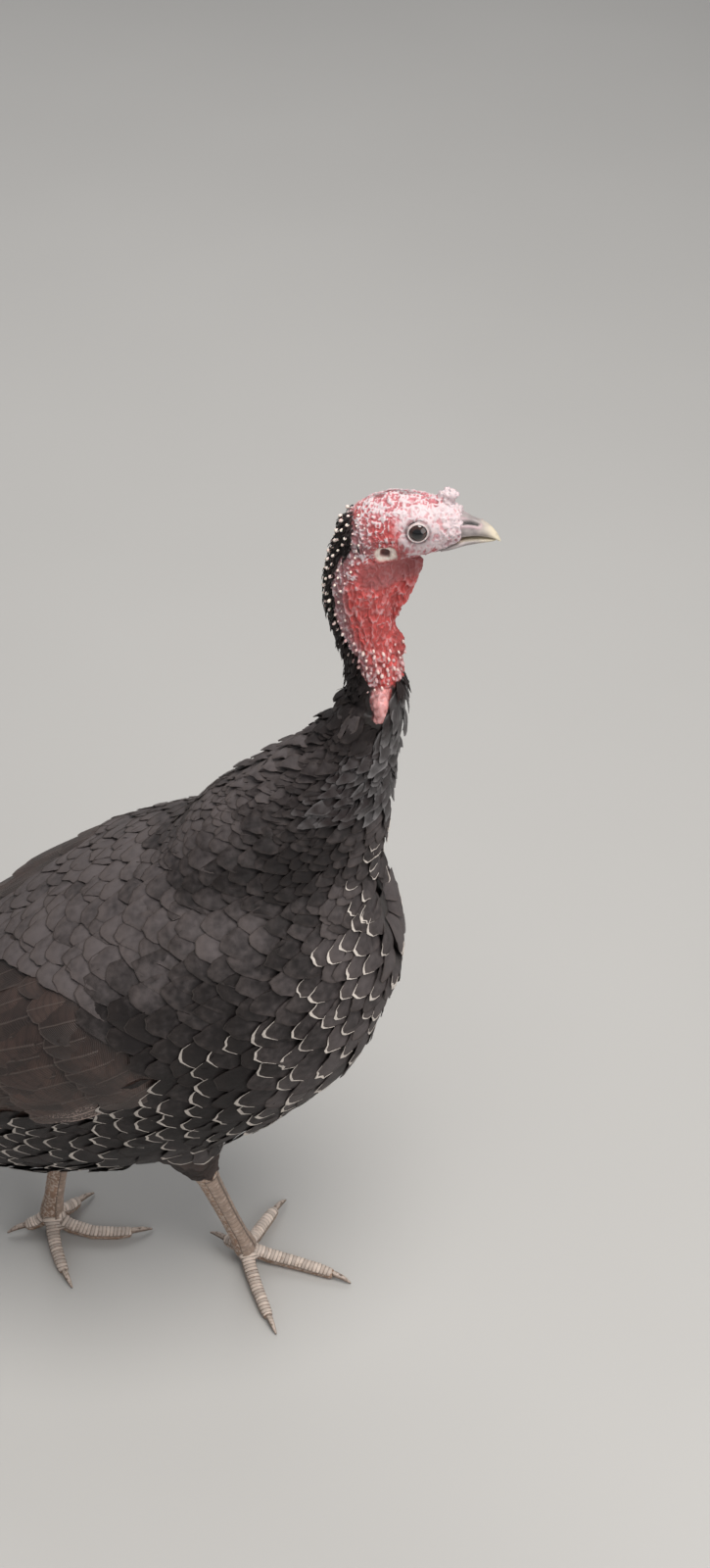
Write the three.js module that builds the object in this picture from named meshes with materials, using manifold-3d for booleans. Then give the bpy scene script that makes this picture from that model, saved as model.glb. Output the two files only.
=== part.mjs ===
// A life-size domestic turkey hen, standing alert in mid step, as a still museum model.
// Millimetres, +Z up, the bird heads along +X, its right side is -Y and the floor is Z = 0.
// The solids give the outer form of flesh and plumage. Each named part is a solid of its own, parted
// from its neighbours by a thin gap.
import * as THREE from "three";
import { mergeVertices } from "three/addons/utils/BufferGeometryUtils.js";
import Module from "manifold-3d";

// ---------- driving dimensions ----------
const GAP = 0.4; // clear space between two parts that meet
const WING_LIFT = 9; // how far the folded wing stands off the body side
const EYE_RADIUS = 7.2;
const EYE_OUT = 10; // eyeball centre from the head's middle plane
const EYE_LINE = new THREE.Vector3(167.6, 2, 640.6); // middle of the line through both eyes
const HEAD_ROLL = -10; // degrees: the right eye is turned up
const HEAD_PITCH = 9; // degrees: the bill is held up
const TOE_LIFT = 5.2; // height of a planted toe's middle line; its pads reach lower and are cut flat
const CLAW_TIP = 1.6; // height of a planted claw's tip
const CLAW_LENGTH = 14;
const WING_SUNK = -2; // a wing's inner part lies this far inside the body side
const FURROW_DEPTH = 5; // between the two breast muscles

const rad = THREE.MathUtils.degToRad;
const LEFT = new THREE.Vector3(0, 1, 0);
const SIDES = [
  { name: "right", y: -1 },
  { name: "left", y: 1 },
];

// ---------- finishes ----------
const finish = (color, roughness, metalness = 0) =>
  new THREE.MeshStandardMaterial({ color, roughness, metalness });
const FINISHES = {
  plumage: finish(0x2b2422, 0.6),
  wing: finish(0x3b302c, 0.6),
  skin: finish(0xc4555a, 0.55),
  facePink: finish(0xd9a3a6, 0.55),
  bill: finish(0x8d857d, 0.4),
  eye: finish(0x2c1c1a, 0.12),
  shank: finish(0x8b7260, 0.6),
  claw: finish(0x5a4a40, 0.45),
};

// ---------- solid tools ----------
const WELD = 1e-4; // corners closer than this are one
const wasm = await Module();
wasm.setup();

function solidFrom(geometry) {
  const bare = geometry.clone();
  bare.deleteAttribute("normal");
  bare.deleteAttribute("uv");
  const merged = mergeVertices(bare, WELD);
  const vertProperties = new Float32Array(merged.attributes.position.array);
  const make = (triVerts) =>
    new wasm.Manifold(new wasm.Mesh({ numProp: 3, vertProperties, triVerts }));
  const made = make(new Uint32Array(merged.index.array));
  return made.volume() > 0
    ? made
    : make(new Uint32Array(merged.index.array).reverse());
}

// The biggest body of a solid, without the crumbs that a cut can leave.
function biggest(solid) {
  const bodies = solid.decompose();
  return bodies.reduce((a, b) => (a.volume() > b.volume() ? a : b));
}

function cutBy(solid, ...others) {
  return biggest(others.reduce((left, other) => left.subtract(other), solid));
}

function meshFrom(solid, name, material) {
  const { numProp, numVert, vertProperties, triVerts } = solid.getMesh();
  const places = new Float32Array(numVert * 3);
  for (let i = 0; i < numVert; i++)
    places.set(vertProperties.subarray(i * numProp, i * numProp + 3), i * 3);
  const geometry = new THREE.BufferGeometry()
    .setAttribute("position", new THREE.BufferAttribute(places, 3))
    .setIndex(new THREE.BufferAttribute(new Uint32Array(triVerts), 1));
  geometry.computeVertexNormals();
  const mesh = new THREE.Mesh(geometry, material);
  mesh.name = name;
  return mesh;
}

// One cross-section of a loft: its middle, then half its width, its height above the middle and below it.
const station = (x, y, z, side, up, down) => ({
  at: new THREE.Vector3(x, y, z),
  girth: new THREE.Vector3(side, up, down),
});

const smoothThrough = (points) =>
  new THREE.CatmullRomCurve3(points, false, "catmullrom");

// A closed form through cross-sections: a sphere's rings move to the sections and its poles close the ends.
// `square` under 1 makes the rings boxier, and `swell` may add to the radius at (share along, turn).
function loft(stations, around, along, options = {}) {
  const { grow = 0, sideways = LEFT, square = 1, cap = 1, swell } = options;
  const ball = new THREE.SphereGeometry(1, around, along);
  const path = smoothThrough(stations.map((s) => s.at));
  const girths = smoothThrough(stations.map((s) => s.girth));
  const places = ball.attributes.position;
  const p = new THREE.Vector3();
  for (let i = 0; i < places.count; i++) {
    p.fromBufferAttribute(places, i);
    const polar = Math.acos(THREE.MathUtils.clamp(p.y, -1, 1));
    const ring = Math.round((polar / Math.PI) * along);
    const turn = Math.atan2(p.z, p.x);
    const share = THREE.MathUtils.clamp((ring - 1) / (along - 2), 0, 1);
    const tangent = path.getTangent(share);
    const side = sideways.clone().addScaledVector(tangent, -tangent.dot(sideways));
    side.normalize();
    const up = tangent.clone().cross(side);
    const girth = girths.getPoint(share);
    p.copy(path.getPoint(share));
    if (ring === 0 || ring === along) {
      p.addScaledVector(tangent, (ring === 0 ? -1 : 1) * (cap + grow));
    } else {
      const c = Math.cos(turn);
      const s = Math.sin(turn);
      const extra = grow + (swell ? swell(share, turn) : 0);
      const tall = s > 0 ? girth.y : girth.z;
      p.addScaledVector(side, Math.sign(c) * Math.abs(c) ** square * (girth.x + extra));
      p.addScaledVector(up, Math.sign(s) * Math.abs(s) ** square * (tall + extra));
    }
    places.setXYZ(i, p.x, p.y, p.z);
  }
  return solidFrom(ball);
}

const mirrored = (stations, y) =>
  stations.map(({ at, girth }) => ({
    at: new THREE.Vector3(at.x, at.y * y, at.z),
    girth,
  }));

// ---------- trunk: from the tail's root forwards to the breast ----------
const TRUNK = [
  station(-218, 0, 176, 22, 13, 20),
  station(-185, 0, 192, 46, 30, 50),
  station(-135, 0, 216, 72, 50, 92),
  station(-70, 0, 248, 90, 68, 120),
  station(0, 0, 286, 95, 82, 124),
  station(65, 0, 324, 88, 87, 111),
  station(112, 0, 350, 70, 76, 88),
  station(144, 0, 362, 44, 54, 58),
  station(157, 0, 366, 18, 24, 26),
];
// Two breast muscles with a shallow furrow between them.
const breastFurrow = (share, turn) => {
  const front = THREE.MathUtils.smoothstep(share, 0.55, 0.95);
  const under = Math.exp(-(((turn + Math.PI / 2) / 0.3) ** 2));
  return -FURROW_DEPTH * front * under;
};
const trunkForm = (grow) =>
  loft(TRUNK, 28, 20, { grow, cap: 3, square: 0.86, swell: breastFurrow });

// ---------- neck ----------
const NECK_LOWER = [
  station(20, 0, 335, 40, 34, 40),
  station(75, 0, 395, 52, 50, 60),
  station(105, 0, 435, 37, 43, 56),
  station(126, 0, 470, 25, 30, 34),
  station(138, 0, 498, 18, 20.5, 22),
  station(143, 0, 520, 15, 16, 17.5),
];
const NECK_UPPER = [
  station(147, 0, 508, 13.5, 13.5, 13.5),
  station(146, 0, 535, 13, 13, 13),
  station(144.5, 0, 553, 13, 12.5, 13),
  station(139.5, 0.5, 574, 14, 15.5, 14),
  station(138, 1, 592, 15.5, 18.5, 16),
  station(138, 1.5, 610, 16, 18, 20),
  station(142, 2, 626, 14.5, 16, 20),
];
const neckLowerForm = (grow) => loft(NECK_LOWER, 18, 10, { grow, cap: 2 });
const neckUpperForm = (grow) => loft(NECK_UPPER, 16, 11, { grow, cap: 2 });

// ---------- head: sections from the nape forwards, in the skull's own frame ----------
const HEAD = [
  station(-40, 0, -8, 6.5, 6.5, 8),
  station(-36, 0, -6.5, 11, 11.5, 13),
  station(-28, 0, -4.5, 14.4, 16, 16.5),
  station(-16, 0, -2, 15.3, 18.4, 17.5),
  station(-5, 0, -1.5, 14.6, 17.2, 17),
  station(5, 0, -2, 13, 14.5, 15),
  station(13, 0, -3, 10.4, 12, 12.4),
  station(19, 0, -3.5, 8.4, 9.3, 8.8),
  station(22, 0, -3.5, 7, 8, 7),
];
const BILL_UPPER = [
  station(17, 0, -3, 8.2, 8.4, 7.4),
  station(22, 0, -4.2, 7.2, 6.6, 5.6),
  station(27, 0, -5, 6.2, 4.9, 4.4),
  station(32, 0, -6.6, 5, 4.4, 3.6),
  station(36, 0, -9.4, 3.4, 3.2, 2.2),
  station(39.2, 0, -13.4, 1, 1, 0.8),
];
const BILL_LOWER = [
  station(6, 0, -15.6, 8.6, 1.8, 3),
  station(14, 0, -13.4, 7.4, 2, 3),
  station(22, 0, -12, 5.6, 2.2, 2.6),
  station(30, 0, -11.8, 4, 1.6, 2),
  station(36, 0, -12.4, 2, 0.8, 1),
];
const SNOOD = [
  station(9, 0, 8.6, 2.4, 2.4, 2.4),
  station(13, 0, 11.2, 3, 3, 3),
  station(18.4, 0, 13.2, 2.5, 2.5, 2.5),
];
const headForm = (grow) => loft(HEAD, 18, 14, { grow, cap: 1.5 });
const billUpperForm = (grow) => loft(BILL_UPPER, 12, 10, { grow, cap: 0.8 });
const billLowerForm = (grow) => loft(BILL_LOWER, 10, 7, { grow, cap: 0.6 });
const snoodForm = (grow) => loft(SNOOD, 10, 7, { grow, cap: 1.6 });
const eyeForm = (y, grow) => {
  const ball = new THREE.SphereGeometry(EYE_RADIUS + grow, 12, 8);
  ball.translate(0, EYE_OUT * y, 0);
  return solidFrom(ball);
};
const headPose = new THREE.Matrix4().compose(
  EYE_LINE,
  new THREE.Quaternion().setFromEuler(
    new THREE.Euler(rad(HEAD_ROLL), rad(-HEAD_PITCH), 0, "ZYX"),
  ),
  new THREE.Vector3(1, 1, 1),
);
const posed = (solid) => solid.transform(headPose.elements);

// The loose fold of skin from the chin to the throat.
const DEWLAP = [
  station(164, 1.5, 618, 3.4, 6, 4),
  station(159.8, 1.5, 606, 3.8, 7, 5.5),
  station(157, 1, 597, 3.6, 7, 5.5),
  station(153.5, 1, 587, 3.2, 6, 5),
  station(150, 0.5, 579, 2.4, 4, 3.4),
];
const dewlapForm = (grow) => loft(DEWLAP, 12, 9, { grow, cap: 1.5 });
// The pale wattle that hangs where the bare throat ends.
const WATTLE = [
  station(149.6, -12.5, 537, 2.8, 2.6, 2.6),
  station(149.4, -16.2, 529.5, 3.8, 3.6, 3.6),
  station(148.4, -18, 520, 1.8, 1.8, 1.8),
];
// A red fleshy knob at the front of the throat.
const CARUNCLE = [
  station(153.5, -1, 570, 3, 2.6, 2.4),
  station(155.5, -2, 562.5, 4.4, 4, 3.6),
  station(155, -2, 555, 3, 2.8, 2.4),
];
const caruncleForm = (grow) => loft(CARUNCLE, 10, 7, { grow, cap: 1.6 });
const wattleForm = (grow) => loft(WATTLE, 10, 7, { grow, cap: 1.6 });

// ---------- wings: folded over the upper half of each side, and the flight feathers behind them ----------
// A wing is the trunk's own form, sunk a little, that stands out where the folded wing covers it.
const wingForm = (y, grow) => {
  const stand = WING_LIFT - WING_SUNK;
  const swell = (share, turn) => {
    const rise = y > 0 ? turn : Math.sign(turn || 1) * Math.PI - turn;
    const lowerEdge = THREE.MathUtils.smoothstep(rise, rad(-14), rad(5));
    const upperEdge = 1 - THREE.MathUtils.smoothstep(rise, rad(30), rad(74));
    const wrist = 1 - THREE.MathUtils.smoothstep(share, 0.48, 0.68);
    return stand * lowerEdge * upperEdge * wrist;
  };
  return loft(TRUNK, 36, 22, { grow: WING_SUNK + grow, cap: 3, square: 0.86, swell });
};
const PRIMARIES = [
  station(-100, 66, 230, 4, 26, 24),
  station(-160, 61, 200, 4, 27, 25),
  station(-215, 50, 172, 4, 22, 20),
  station(-258, 41, 150, 3, 13, 13),
  station(-282, 35, 138, 1.6, 5, 5),
];
const primariesForm = (y, grow) =>
  loft(mirrored(PRIMARIES, y), 12, 12, { grow, cap: 2 });

// ---------- tail: the folded fan ----------
const TAIL = [
  station(-190, 0, 190, 32, 16, 18),
  station(-235, 0, 170, 40, 13, 12),
  station(-310, 0, 138, 47, 10, 6),
  station(-385, 0, 106, 53, 8, 3),
  station(-420, 0, 91, 50, 6, 2),
];
const tailForm = (grow) => loft(TAIL, 14, 9, { grow, cap: 4, square: 0.8 });

// ---------- legs ----------
const LEGS = {
  right: { hip: [17, -50, 228], hock: [34, -24, 121], foot: [56, -6, 14] },
  left: { hip: [-36, 48, 212], hock: [-67, 10, 124], foot: [-87, 9, 14] },
};
const between = (a, b, share) => new THREE.Vector3(...a).lerp(new THREE.Vector3(...b), share);
function along(a, b, girths) {
  return girths.map(([share, side, up, down]) => ({
    at: between(a, b, share),
    girth: new THREE.Vector3(side, up, down ?? up),
  }));
}
const thighForm = ({ hip, hock }, grow) =>
  loft(
    along(hip, hock, [
      [0, 30, 36],
      [0.35, 25, 29],
      [0.62, 17, 19],
      [0.84, 12, 13.5],
      [0.95, 9, 10],
    ]),
    14,
    9,
    { grow, cap: 2 },
  );
const shankForm = ({ hock, foot }, grow) =>
  loft(
    along(hock, foot, [
      [-0.06, 6, 6],
      [0, 7.6, 9],
      [0.12, 5.8, 7.6],
      [0.5, 5.2, 6.6],
      [0.82, 5.8, 6.4],
      [0.96, 8.6, 8],
      [1.03, 8.6, 7],
    ]),
    12,
    11,
    { grow, cap: 2 },
  );

// Toes: heading in degrees from straight ahead, length to the claw's root, sideways bend in the middle,
// and the heights of the toe's root and of the claw's tip.
const TOES = {
  right: {
    inner: [69, 43, 1, 13, CLAW_TIP],
    middle: [-9, 64, 2, 14, CLAW_TIP],
    outer: [-65, 54, -1, 12, CLAW_TIP],
    hind: [152, 17, 0, 20, 7],
  },
  left: {
    inner: [-68, 45, -2, 13, CLAW_TIP],
    middle: [-4, 58, -6, 14, CLAW_TIP],
    outer: [50, 24, 0, 13, CLAW_TIP],
    hind: [204, 19, 0, 20, 3.5],
  },
};
function toeFrame(foot, [heading, length, bend]) {
  const angle = rad(heading);
  const ahead = new THREE.Vector3(Math.cos(angle), Math.sin(angle), 0);
  const sideways = new THREE.Vector3(-Math.sin(angle), Math.cos(angle), 0);
  const at = (share, height) =>
    new THREE.Vector3(foot[0], foot[1], 0)
      .addScaledVector(ahead, share * length)
      .addScaledVector(sideways, bend * 4 * share * (1 - share))
      .setZ(height);
  return { sideways, at };
}
const toeStation = (at, side, up, down) => ({ at, girth: new THREE.Vector3(side, up, down) });
function toeForm(foot, toe, grow) {
  const { sideways, at } = toeFrame(foot, toe);
  const [, , , root, tip] = toe;
  const lift = TOE_LIFT + tip - CLAW_TIP;
  const stations = [
    toeStation(at(0, root), 4.8, 4.8, 5.4),
    toeStation(at(0.25, lift + (root - lift) * 0.3), 4.6, 4.4, 6.2),
    toeStation(at(0.55, lift + 0.6), 4.2, 4, 6.1),
    toeStation(at(0.85, lift), 3.8, 3.6, 5.8),
    toeStation(at(1, lift - 0.6), 3.2, 3, 4.4),
  ];
  return loft(stations, 9, 6, { grow, sideways, cap: 1.2 });
}
function clawForm(foot, toe, grow) {
  const { sideways, at } = toeFrame(foot, toe);
  const [, length, , , tip] = toe;
  // A place on the claw: its share of the claw past the toe's end, and its height above the tip.
  const on = (share, height) => at(1 + (share * CLAW_LENGTH) / length, tip + height);
  const stations = [
    toeStation(on(-0.2, 3.8), 2.4, 2.4, 2.4),
    toeStation(on(0.35, 3.6), 2.2, 2.2, 2.2),
    toeStation(on(0.7, 2.2), 1.6, 1.5, 1.5),
    toeStation(on(1, 0), 0.7, 0.7, 0.7),
  ];
  return loft(stations, 7, 6, { grow, sideways, cap: 0.6 });
}
// Everything above the floor: what reaches below it is cut off flat.
function aboveFloor(solid) {
  const wide = 2000;
  const deep = 100;
  const below = new THREE.BoxGeometry(wide, wide, deep);
  below.translate(0, 0, -deep / 2);
  return biggest(solid.subtract(solidFrom(below)));
}

// ---------- the bird, part by part: each later part is cut clear of the ones before it ----------
const bird = new THREE.Group();
bird.name = "domestic_turkey";
const add = (solid, name, material) => bird.add(meshFrom(solid, name, material));

function buildBody() {
  const trunk = trunkForm(0);
  const trunkClear = trunkForm(GAP);
  const lowerClear = neckLowerForm(GAP);
  const lower = cutBy(neckLowerForm(0), trunkClear);
  const headClear = posed(headForm(GAP));
  const upperClear = neckUpperForm(GAP);
  const upper = cutBy(neckUpperForm(0), lowerClear, headClear);
  const wattle = cutBy(wattleForm(0), upperClear, lowerClear);
  const caruncle = cutBy(caruncleForm(0), upperClear);
  add(trunk, "trunk", FINISHES.plumage);
  add(lower, "neck_lower", FINISHES.plumage);
  add(upper, "neck_upper", FINISHES.skin);
  add(wattle, "wattle", FINISHES.skin);
  add(caruncle, "caruncle", FINISHES.skin);
  return { trunkClear, headClear, upperClear };
}

function buildHead({ headClear, upperClear }) {
  const eyesClear = SIDES.map(({ y }) => eyeForm(y, GAP));
  const head = cutBy(headForm(0), ...eyesClear);
  const upperBill = cutBy(billUpperForm(0), headForm(GAP));
  const lowerBill = cutBy(billLowerForm(0), headForm(GAP), billUpperForm(GAP));
  const snood = cutBy(snoodForm(0), headForm(GAP), billUpperForm(GAP));
  add(posed(head), "head", FINISHES.facePink);
  add(posed(upperBill), "bill_upper", FINISHES.bill);
  add(posed(lowerBill), "bill_lower", FINISHES.bill);
  add(posed(snood), "snood", FINISHES.facePink);
  for (const { name, y } of SIDES)
    add(posed(eyeForm(y, 0)), "eye_" + name, FINISHES.eye);
  const dewlap = cutBy(dewlapForm(0), headClear, upperClear);
  add(dewlap, "dewlap", FINISHES.skin);
}

function buildWingsAndTail({ trunkClear }) {
  const clear = [trunkClear];
  for (const { name, y } of SIDES) {
    add(cutBy(wingForm(y, 0), trunkClear), "wing_" + name, FINISHES.wing);
    clear.push(wingForm(y, GAP));
  }
  for (const { name, y } of SIDES) {
    add(cutBy(primariesForm(y, 0), ...clear), "primaries_" + name, FINISHES.wing);
    clear.push(primariesForm(y, GAP));
  }
  add(cutBy(tailForm(0), ...clear), "tail", FINISHES.wing);
}

function buildLegs({ trunkClear }) {
  for (const { name } of SIDES) {
    const leg = LEGS[name];
    add(cutBy(thighForm(leg, 0), trunkClear), "thigh_" + name, FINISHES.plumage);
    const thighClear = thighForm(leg, GAP);
    const shank = cutBy(shankForm(leg, 0), thighClear);
    add(aboveFloor(shank), "shank_" + name, FINISHES.shank);
    const cleared = [shankForm(leg, GAP)];
    for (const [toe, sizes] of Object.entries(TOES[name])) {
      const solid = cutBy(toeForm(leg.foot, sizes, 0), ...cleared);
      add(aboveFloor(solid), `toe_${name}_${toe}`, FINISHES.shank);
      const toeClear = toeForm(leg.foot, sizes, GAP);
      const claw = cutBy(clawForm(leg.foot, sizes, 0), toeClear);
      add(aboveFloor(claw), `claw_${name}_${toe}`, FINISHES.claw);
      cleared.push(toeClear);
    }
  }
}

const cleared = buildBody();
buildHead(cleared);
buildWingsAndTail(cleared);
buildLegs(cleared);

// The origin is on the floor in the middle of the bird's box.
const box = new THREE.Box3().setFromObject(bird);
const middle = box.getCenter(new THREE.Vector3());
bird.position.set(-middle.x, -middle.y, -box.min.z);

export default bird;
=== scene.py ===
"""Looks for the life-size domestic turkey: skin, feathers, eyes, bill, scutes, claws and a plain stage.

Laid out as an add-on and run as a script. Lengths are metres unless a name or comment says millimetres;
+X is the way the bird heads, +Y its left and +Z up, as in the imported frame.
"""

import itertools
import math
from dataclasses import dataclass, fields, replace

import bmesh
import bpy
import numpy as np
from bpy.props import FloatProperty, FloatVectorProperty, IntProperty, PointerProperty
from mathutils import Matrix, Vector
from mathutils.bvhtree import BVHTree
from mathutils.kdtree import KDTree


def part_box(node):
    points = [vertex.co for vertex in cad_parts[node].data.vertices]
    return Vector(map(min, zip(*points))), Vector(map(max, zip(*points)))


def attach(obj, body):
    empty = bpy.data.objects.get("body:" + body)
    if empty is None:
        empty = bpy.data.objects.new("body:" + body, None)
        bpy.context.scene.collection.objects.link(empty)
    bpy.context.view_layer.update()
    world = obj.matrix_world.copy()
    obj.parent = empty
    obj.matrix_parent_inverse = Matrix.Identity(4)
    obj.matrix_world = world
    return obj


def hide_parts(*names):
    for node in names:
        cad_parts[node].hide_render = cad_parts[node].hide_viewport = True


bl_info = {
    "name": "Domestic turkey",
    "version": (1, 0, 0),
    "blender": (4, 5, 0),
    "location": "3D View > Sidebar > Turkey",
    "description": "Builds the skin, feathers and finishes of a life-size turkey round its solid parts",
    "category": "Object",
}

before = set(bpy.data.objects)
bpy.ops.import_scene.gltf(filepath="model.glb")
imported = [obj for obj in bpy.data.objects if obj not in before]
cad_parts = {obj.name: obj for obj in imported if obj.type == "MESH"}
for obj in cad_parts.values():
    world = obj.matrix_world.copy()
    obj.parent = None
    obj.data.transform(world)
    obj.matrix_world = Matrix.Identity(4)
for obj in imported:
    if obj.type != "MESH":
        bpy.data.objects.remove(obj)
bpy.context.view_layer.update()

MM = 0.001
SIDES = {"right": -1, "left": 1}
DIGITS = ("hind", "inner", "middle", "outer")
TOES, CLAWS = ([f"{kind}_{side}_{digit}" for side in SIDES for digit in DIGITS] for kind in ("toe", "claw"))
SHANKS, THIGHS, WINGS = ([f"{kind}_{side}" for side in SIDES] for kind in ("shank", "thigh", "wing"))
LOBES = ["wattle", "caruncle"]
BARE_HEAD = ["head", "snood", "dewlap", *LOBES, "neck_upper"]
FLESH = [*BARE_HEAD, "neck_lower", "trunk", *WINGS, *THIGHS, *SHANKS, *TOES]
LEFT = np.array([0.0, 1.0, 0.0])
UP = np.array([0.0, 0.0, 1.0])


# ---------------- settings
def length_of(name, description, millimetres):
    return FloatProperty(
        name=name, description=description, default=millimetres * MM, unit="LENGTH", precision=4
    )


def number_of(name, description, number):
    return IntProperty(name=name, description=description, default=number)


def colour_of(name, description, *shares):
    return FloatVectorProperty(
        name=name, description=description, default=shares, subtype="COLOR", size=3, min=0, max=1
    )


class TurkeyCoat(bpy.types.PropertyGroup):
    """Sizes of the skin and of the feathers on it."""

    body_depth: length_of("Body coat", "Depth of the feathers over the body", 8.5)
    thigh_depth: length_of("Thigh coat", "Depth of the feathers over the thighs", 5)
    back_spacing: length_of("Back spacing", "Between feather roots on back and shoulders", 13.5)
    breast_spacing: length_of("Breast spacing", "Between feather roots on breast and belly", 13)
    neck_spacing: length_of("Neck spacing", "Between feather roots where the neck turns bare", 4)
    thigh_spacing: length_of("Thigh spacing", "Between feather roots above the hock", 6)
    secondary_length: length_of("Secondary length", "Length of a wing's secondaries", 200)
    secondaries: number_of("Secondaries", "Long feathers in each wing", 12)
    primaries: number_of("Primaries", "Primaries that show in each wing", 8)
    tail_pairs: number_of("Tail pairs", "Pairs of long tail feathers", 9)


class TurkeyHead(bpy.types.PropertyGroup):
    """Sizes of the eyes and the bill."""

    eye_radius: length_of("Eyeball", "Radius of the eyeball", 7.2)
    nostril: length_of("Nostril", "Length of the nostril slit", 8)


class TurkeyColours(bpy.types.PropertyGroup):
    """Colours of the finishes."""

    plumage: colour_of("Plumage", "Brown-black of most feathers", 0.0104, 0.0069, 0.0067)
    # Lightest end of the feathers' tone: partly their own grey-brown, partly painted sheen of the light on
    # the back.
    plumage_light: colour_of("Light plumage", "Grey-brown of the back", 0.108, 0.09, 0.089)
    plumage_edge: colour_of("Feather edge", "Paler edge of a dark feather", 0.085, 0.063, 0.054)
    wing_brown: colour_of("Wing", "Red-brown of the wing's long feathers", 0.0275, 0.0155, 0.012)
    fringe: colour_of("Fringe", "Whitish tip of a breast feather", 0.6, 0.535, 0.48)
    # Also painted into the neck feathers' base colour as painted highlights.
    gloss: colour_of("Gloss", "Sheen of the neck feathers", 0.66, 0.63, 0.63)
    red_skin: colour_of("Red skin", "Bare skin of the throat", 0.46, 0.06, 0.055)
    dusky_skin: colour_of("Dusky skin", "Smooth skin under the ear", 0.29, 0.088, 0.09)
    rosy_skin: colour_of("Rosy skin", "Furrows of the face and the crown", 0.5, 0.18, 0.205)
    mauve_skin: colour_of("Mauve skin", "Greyish skin beside bill and nape", 0.3, 0.19, 0.21)
    pale_skin: colour_of("Pale skin", "Pinkish white of face and wrinkles", 0.6, 0.49, 0.5)
    white_skin: colour_of("White skin", "Tips of the papillae and the ear", 0.8, 0.68, 0.6)
    orange_skin: colour_of("Web", "Thin skin of the throat's web", 0.8, 0.42, 0.4)
    # Also the colour of the painted shade in the ear, the gape, the lid furrow, above the ear and in the
    # nostril slit.
    dark_skin: colour_of("Dark skin", "Skin under the feathers", 0.02, 0.014, 0.013)
    horn: colour_of("Bill", "Grey horn at the base of the bill", 0.25, 0.215, 0.21)
    horn_tip: colour_of("Bill tip", "Cream horn at the tip of the bill", 0.62, 0.54, 0.4)
    shank: colour_of("Shank", "Brown skin of the legs", 0.205, 0.125, 0.083)
    scute: colour_of("Scutes", "Pale plates on the toes", 0.76, 0.63, 0.54)
    claw: colour_of("Claw", "Grey-brown horn of the claws", 0.105, 0.07, 0.05)
    iris: colour_of("Iris", "Dark brown of the iris", 0.022, 0.009, 0.007)
    floor: colour_of("Floor", "Plain pale floor", 0.46, 0.445, 0.425)


SETTINGS = {"turkey_coat": TurkeyCoat, "turkey_head": TurkeyHead, "turkey_colours": TurkeyColours}


def settings():
    return [getattr(bpy.context.scene, name) for name in SETTINGS]


# ---------------- number tools
def smooth(low, high, value):
    share = np.clip((value - low) / (high - low), 0, 1)
    return share * share * (3 - 2 * share)


def bump(value, middle, width):
    """1 at the middle, falling off smoothly over the width."""
    return np.exp(-(((value - middle) / width) ** 2))


def unit(vectors):
    size = np.linalg.norm(vectors, axis=-1, keepdims=True)
    return vectors / np.maximum(size, 1e-12)


def dot(a, b):
    return np.sum(a * b, axis=-1)


def along_skin(ways, normals):
    """Directions laid flat on the skin with these normals."""
    return unit(ways - dot(ways, normals)[:, None] * normals)


def interpolated(steps, knots, points):
    """Points on a line of straight pieces, at steps along its knots."""
    return np.stack([np.interp(steps, knots, column) for column in np.asarray(points, float).T], axis=1)


def reaches(points):
    """How far along a line of straight pieces each of its points lies."""
    return np.concatenate([[0], np.cumsum(np.linalg.norm(np.diff(points, axis=0), axis=1))])


HASH = (73856093, 19349663, 83492791)
HASH_MIX = 1274126177
NOISE_SALT = 2654435761
PEBBLE_SALT = 97531


def hashed(cell, salt):
    """A share from 0 to 1 for each cell of a lattice."""
    mixed = cell[:, 0] * HASH[0] ^ cell[:, 1] * HASH[1] ^ cell[:, 2] * HASH[2] ^ salt
    mixed = (mixed ^ (mixed >> 13)) * HASH_MIX
    return ((mixed ^ (mixed >> 16)) & 0xFFFF) / 0xFFFF


def noise(points, seed=0):
    """Smooth noise from -1 to 1, with cells one unit wide."""
    cell = np.floor(points).astype(np.int64)
    part = points - cell
    part = part * part * (3 - 2 * part)
    total = np.zeros(len(points))
    for corner in itertools.product((0, 1), repeat=3):
        weight = np.prod(np.where(np.array(corner) == 1, part, 1 - part), axis=1)
        total += weight * (hashed(cell + np.array(corner), seed * NOISE_SALT) * 2 - 1)
    return total


def layered_noise(points, layers=3, seed=0):
    return sum(noise(points * 2**k, seed + k) / 2**k for k in range(layers))


def pebbles(points, seed=0):
    """Rounded knobs on a jittered lattice of unit cells: 1 on their tops, 0 in the furrows between."""
    cell = np.floor(points).astype(np.int64)
    best = np.zeros(len(points))
    for step in itertools.product((-1, 0, 1), repeat=3):
        at = cell + np.array(step)
        centre = at + 0.5
        for axis in range(3):
            centre[:, axis] += (hashed(at, (seed + axis) * PEBBLE_SALT) - 0.5) * CELL_JITTER
        best = np.maximum(best, 1 - (np.linalg.norm(points - centre, axis=1) / PEBBLE) ** 2)
    return best


def worms(points, seed=0):
    """Winding ridges: 1 along their crests."""
    return np.clip(1 - 2.6 * np.abs(layered_noise(points, 2, seed)), 0, 1)


CELL_JITTER = 0.75
PEBBLE = 0.62  # radius of a knob in its cell


# ---------------- mesh tools
def read(items, field, width=1, kind=float):
    """One field of all items of a mesh as an array."""
    values = np.empty(len(items) * width, kind)
    items.foreach_get(field, values)
    return values.reshape(-1, width) if width > 1 else values


def mesh_arrays(mesh):
    places, normals = (read(mesh.vertices, field, 3) for field in ("co", "normal"))
    return places, normals, read(mesh.edges, "vertices", 2, np.int64)


def triangles_of(mesh):
    mesh.calc_loop_triangles()
    return read(mesh.loop_triangles, "vertices", 3, np.int64)


def put_points(mesh, places):
    mesh.vertices.foreach_set("co", places.astype(np.float32).ravel())
    mesh.update()


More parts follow.
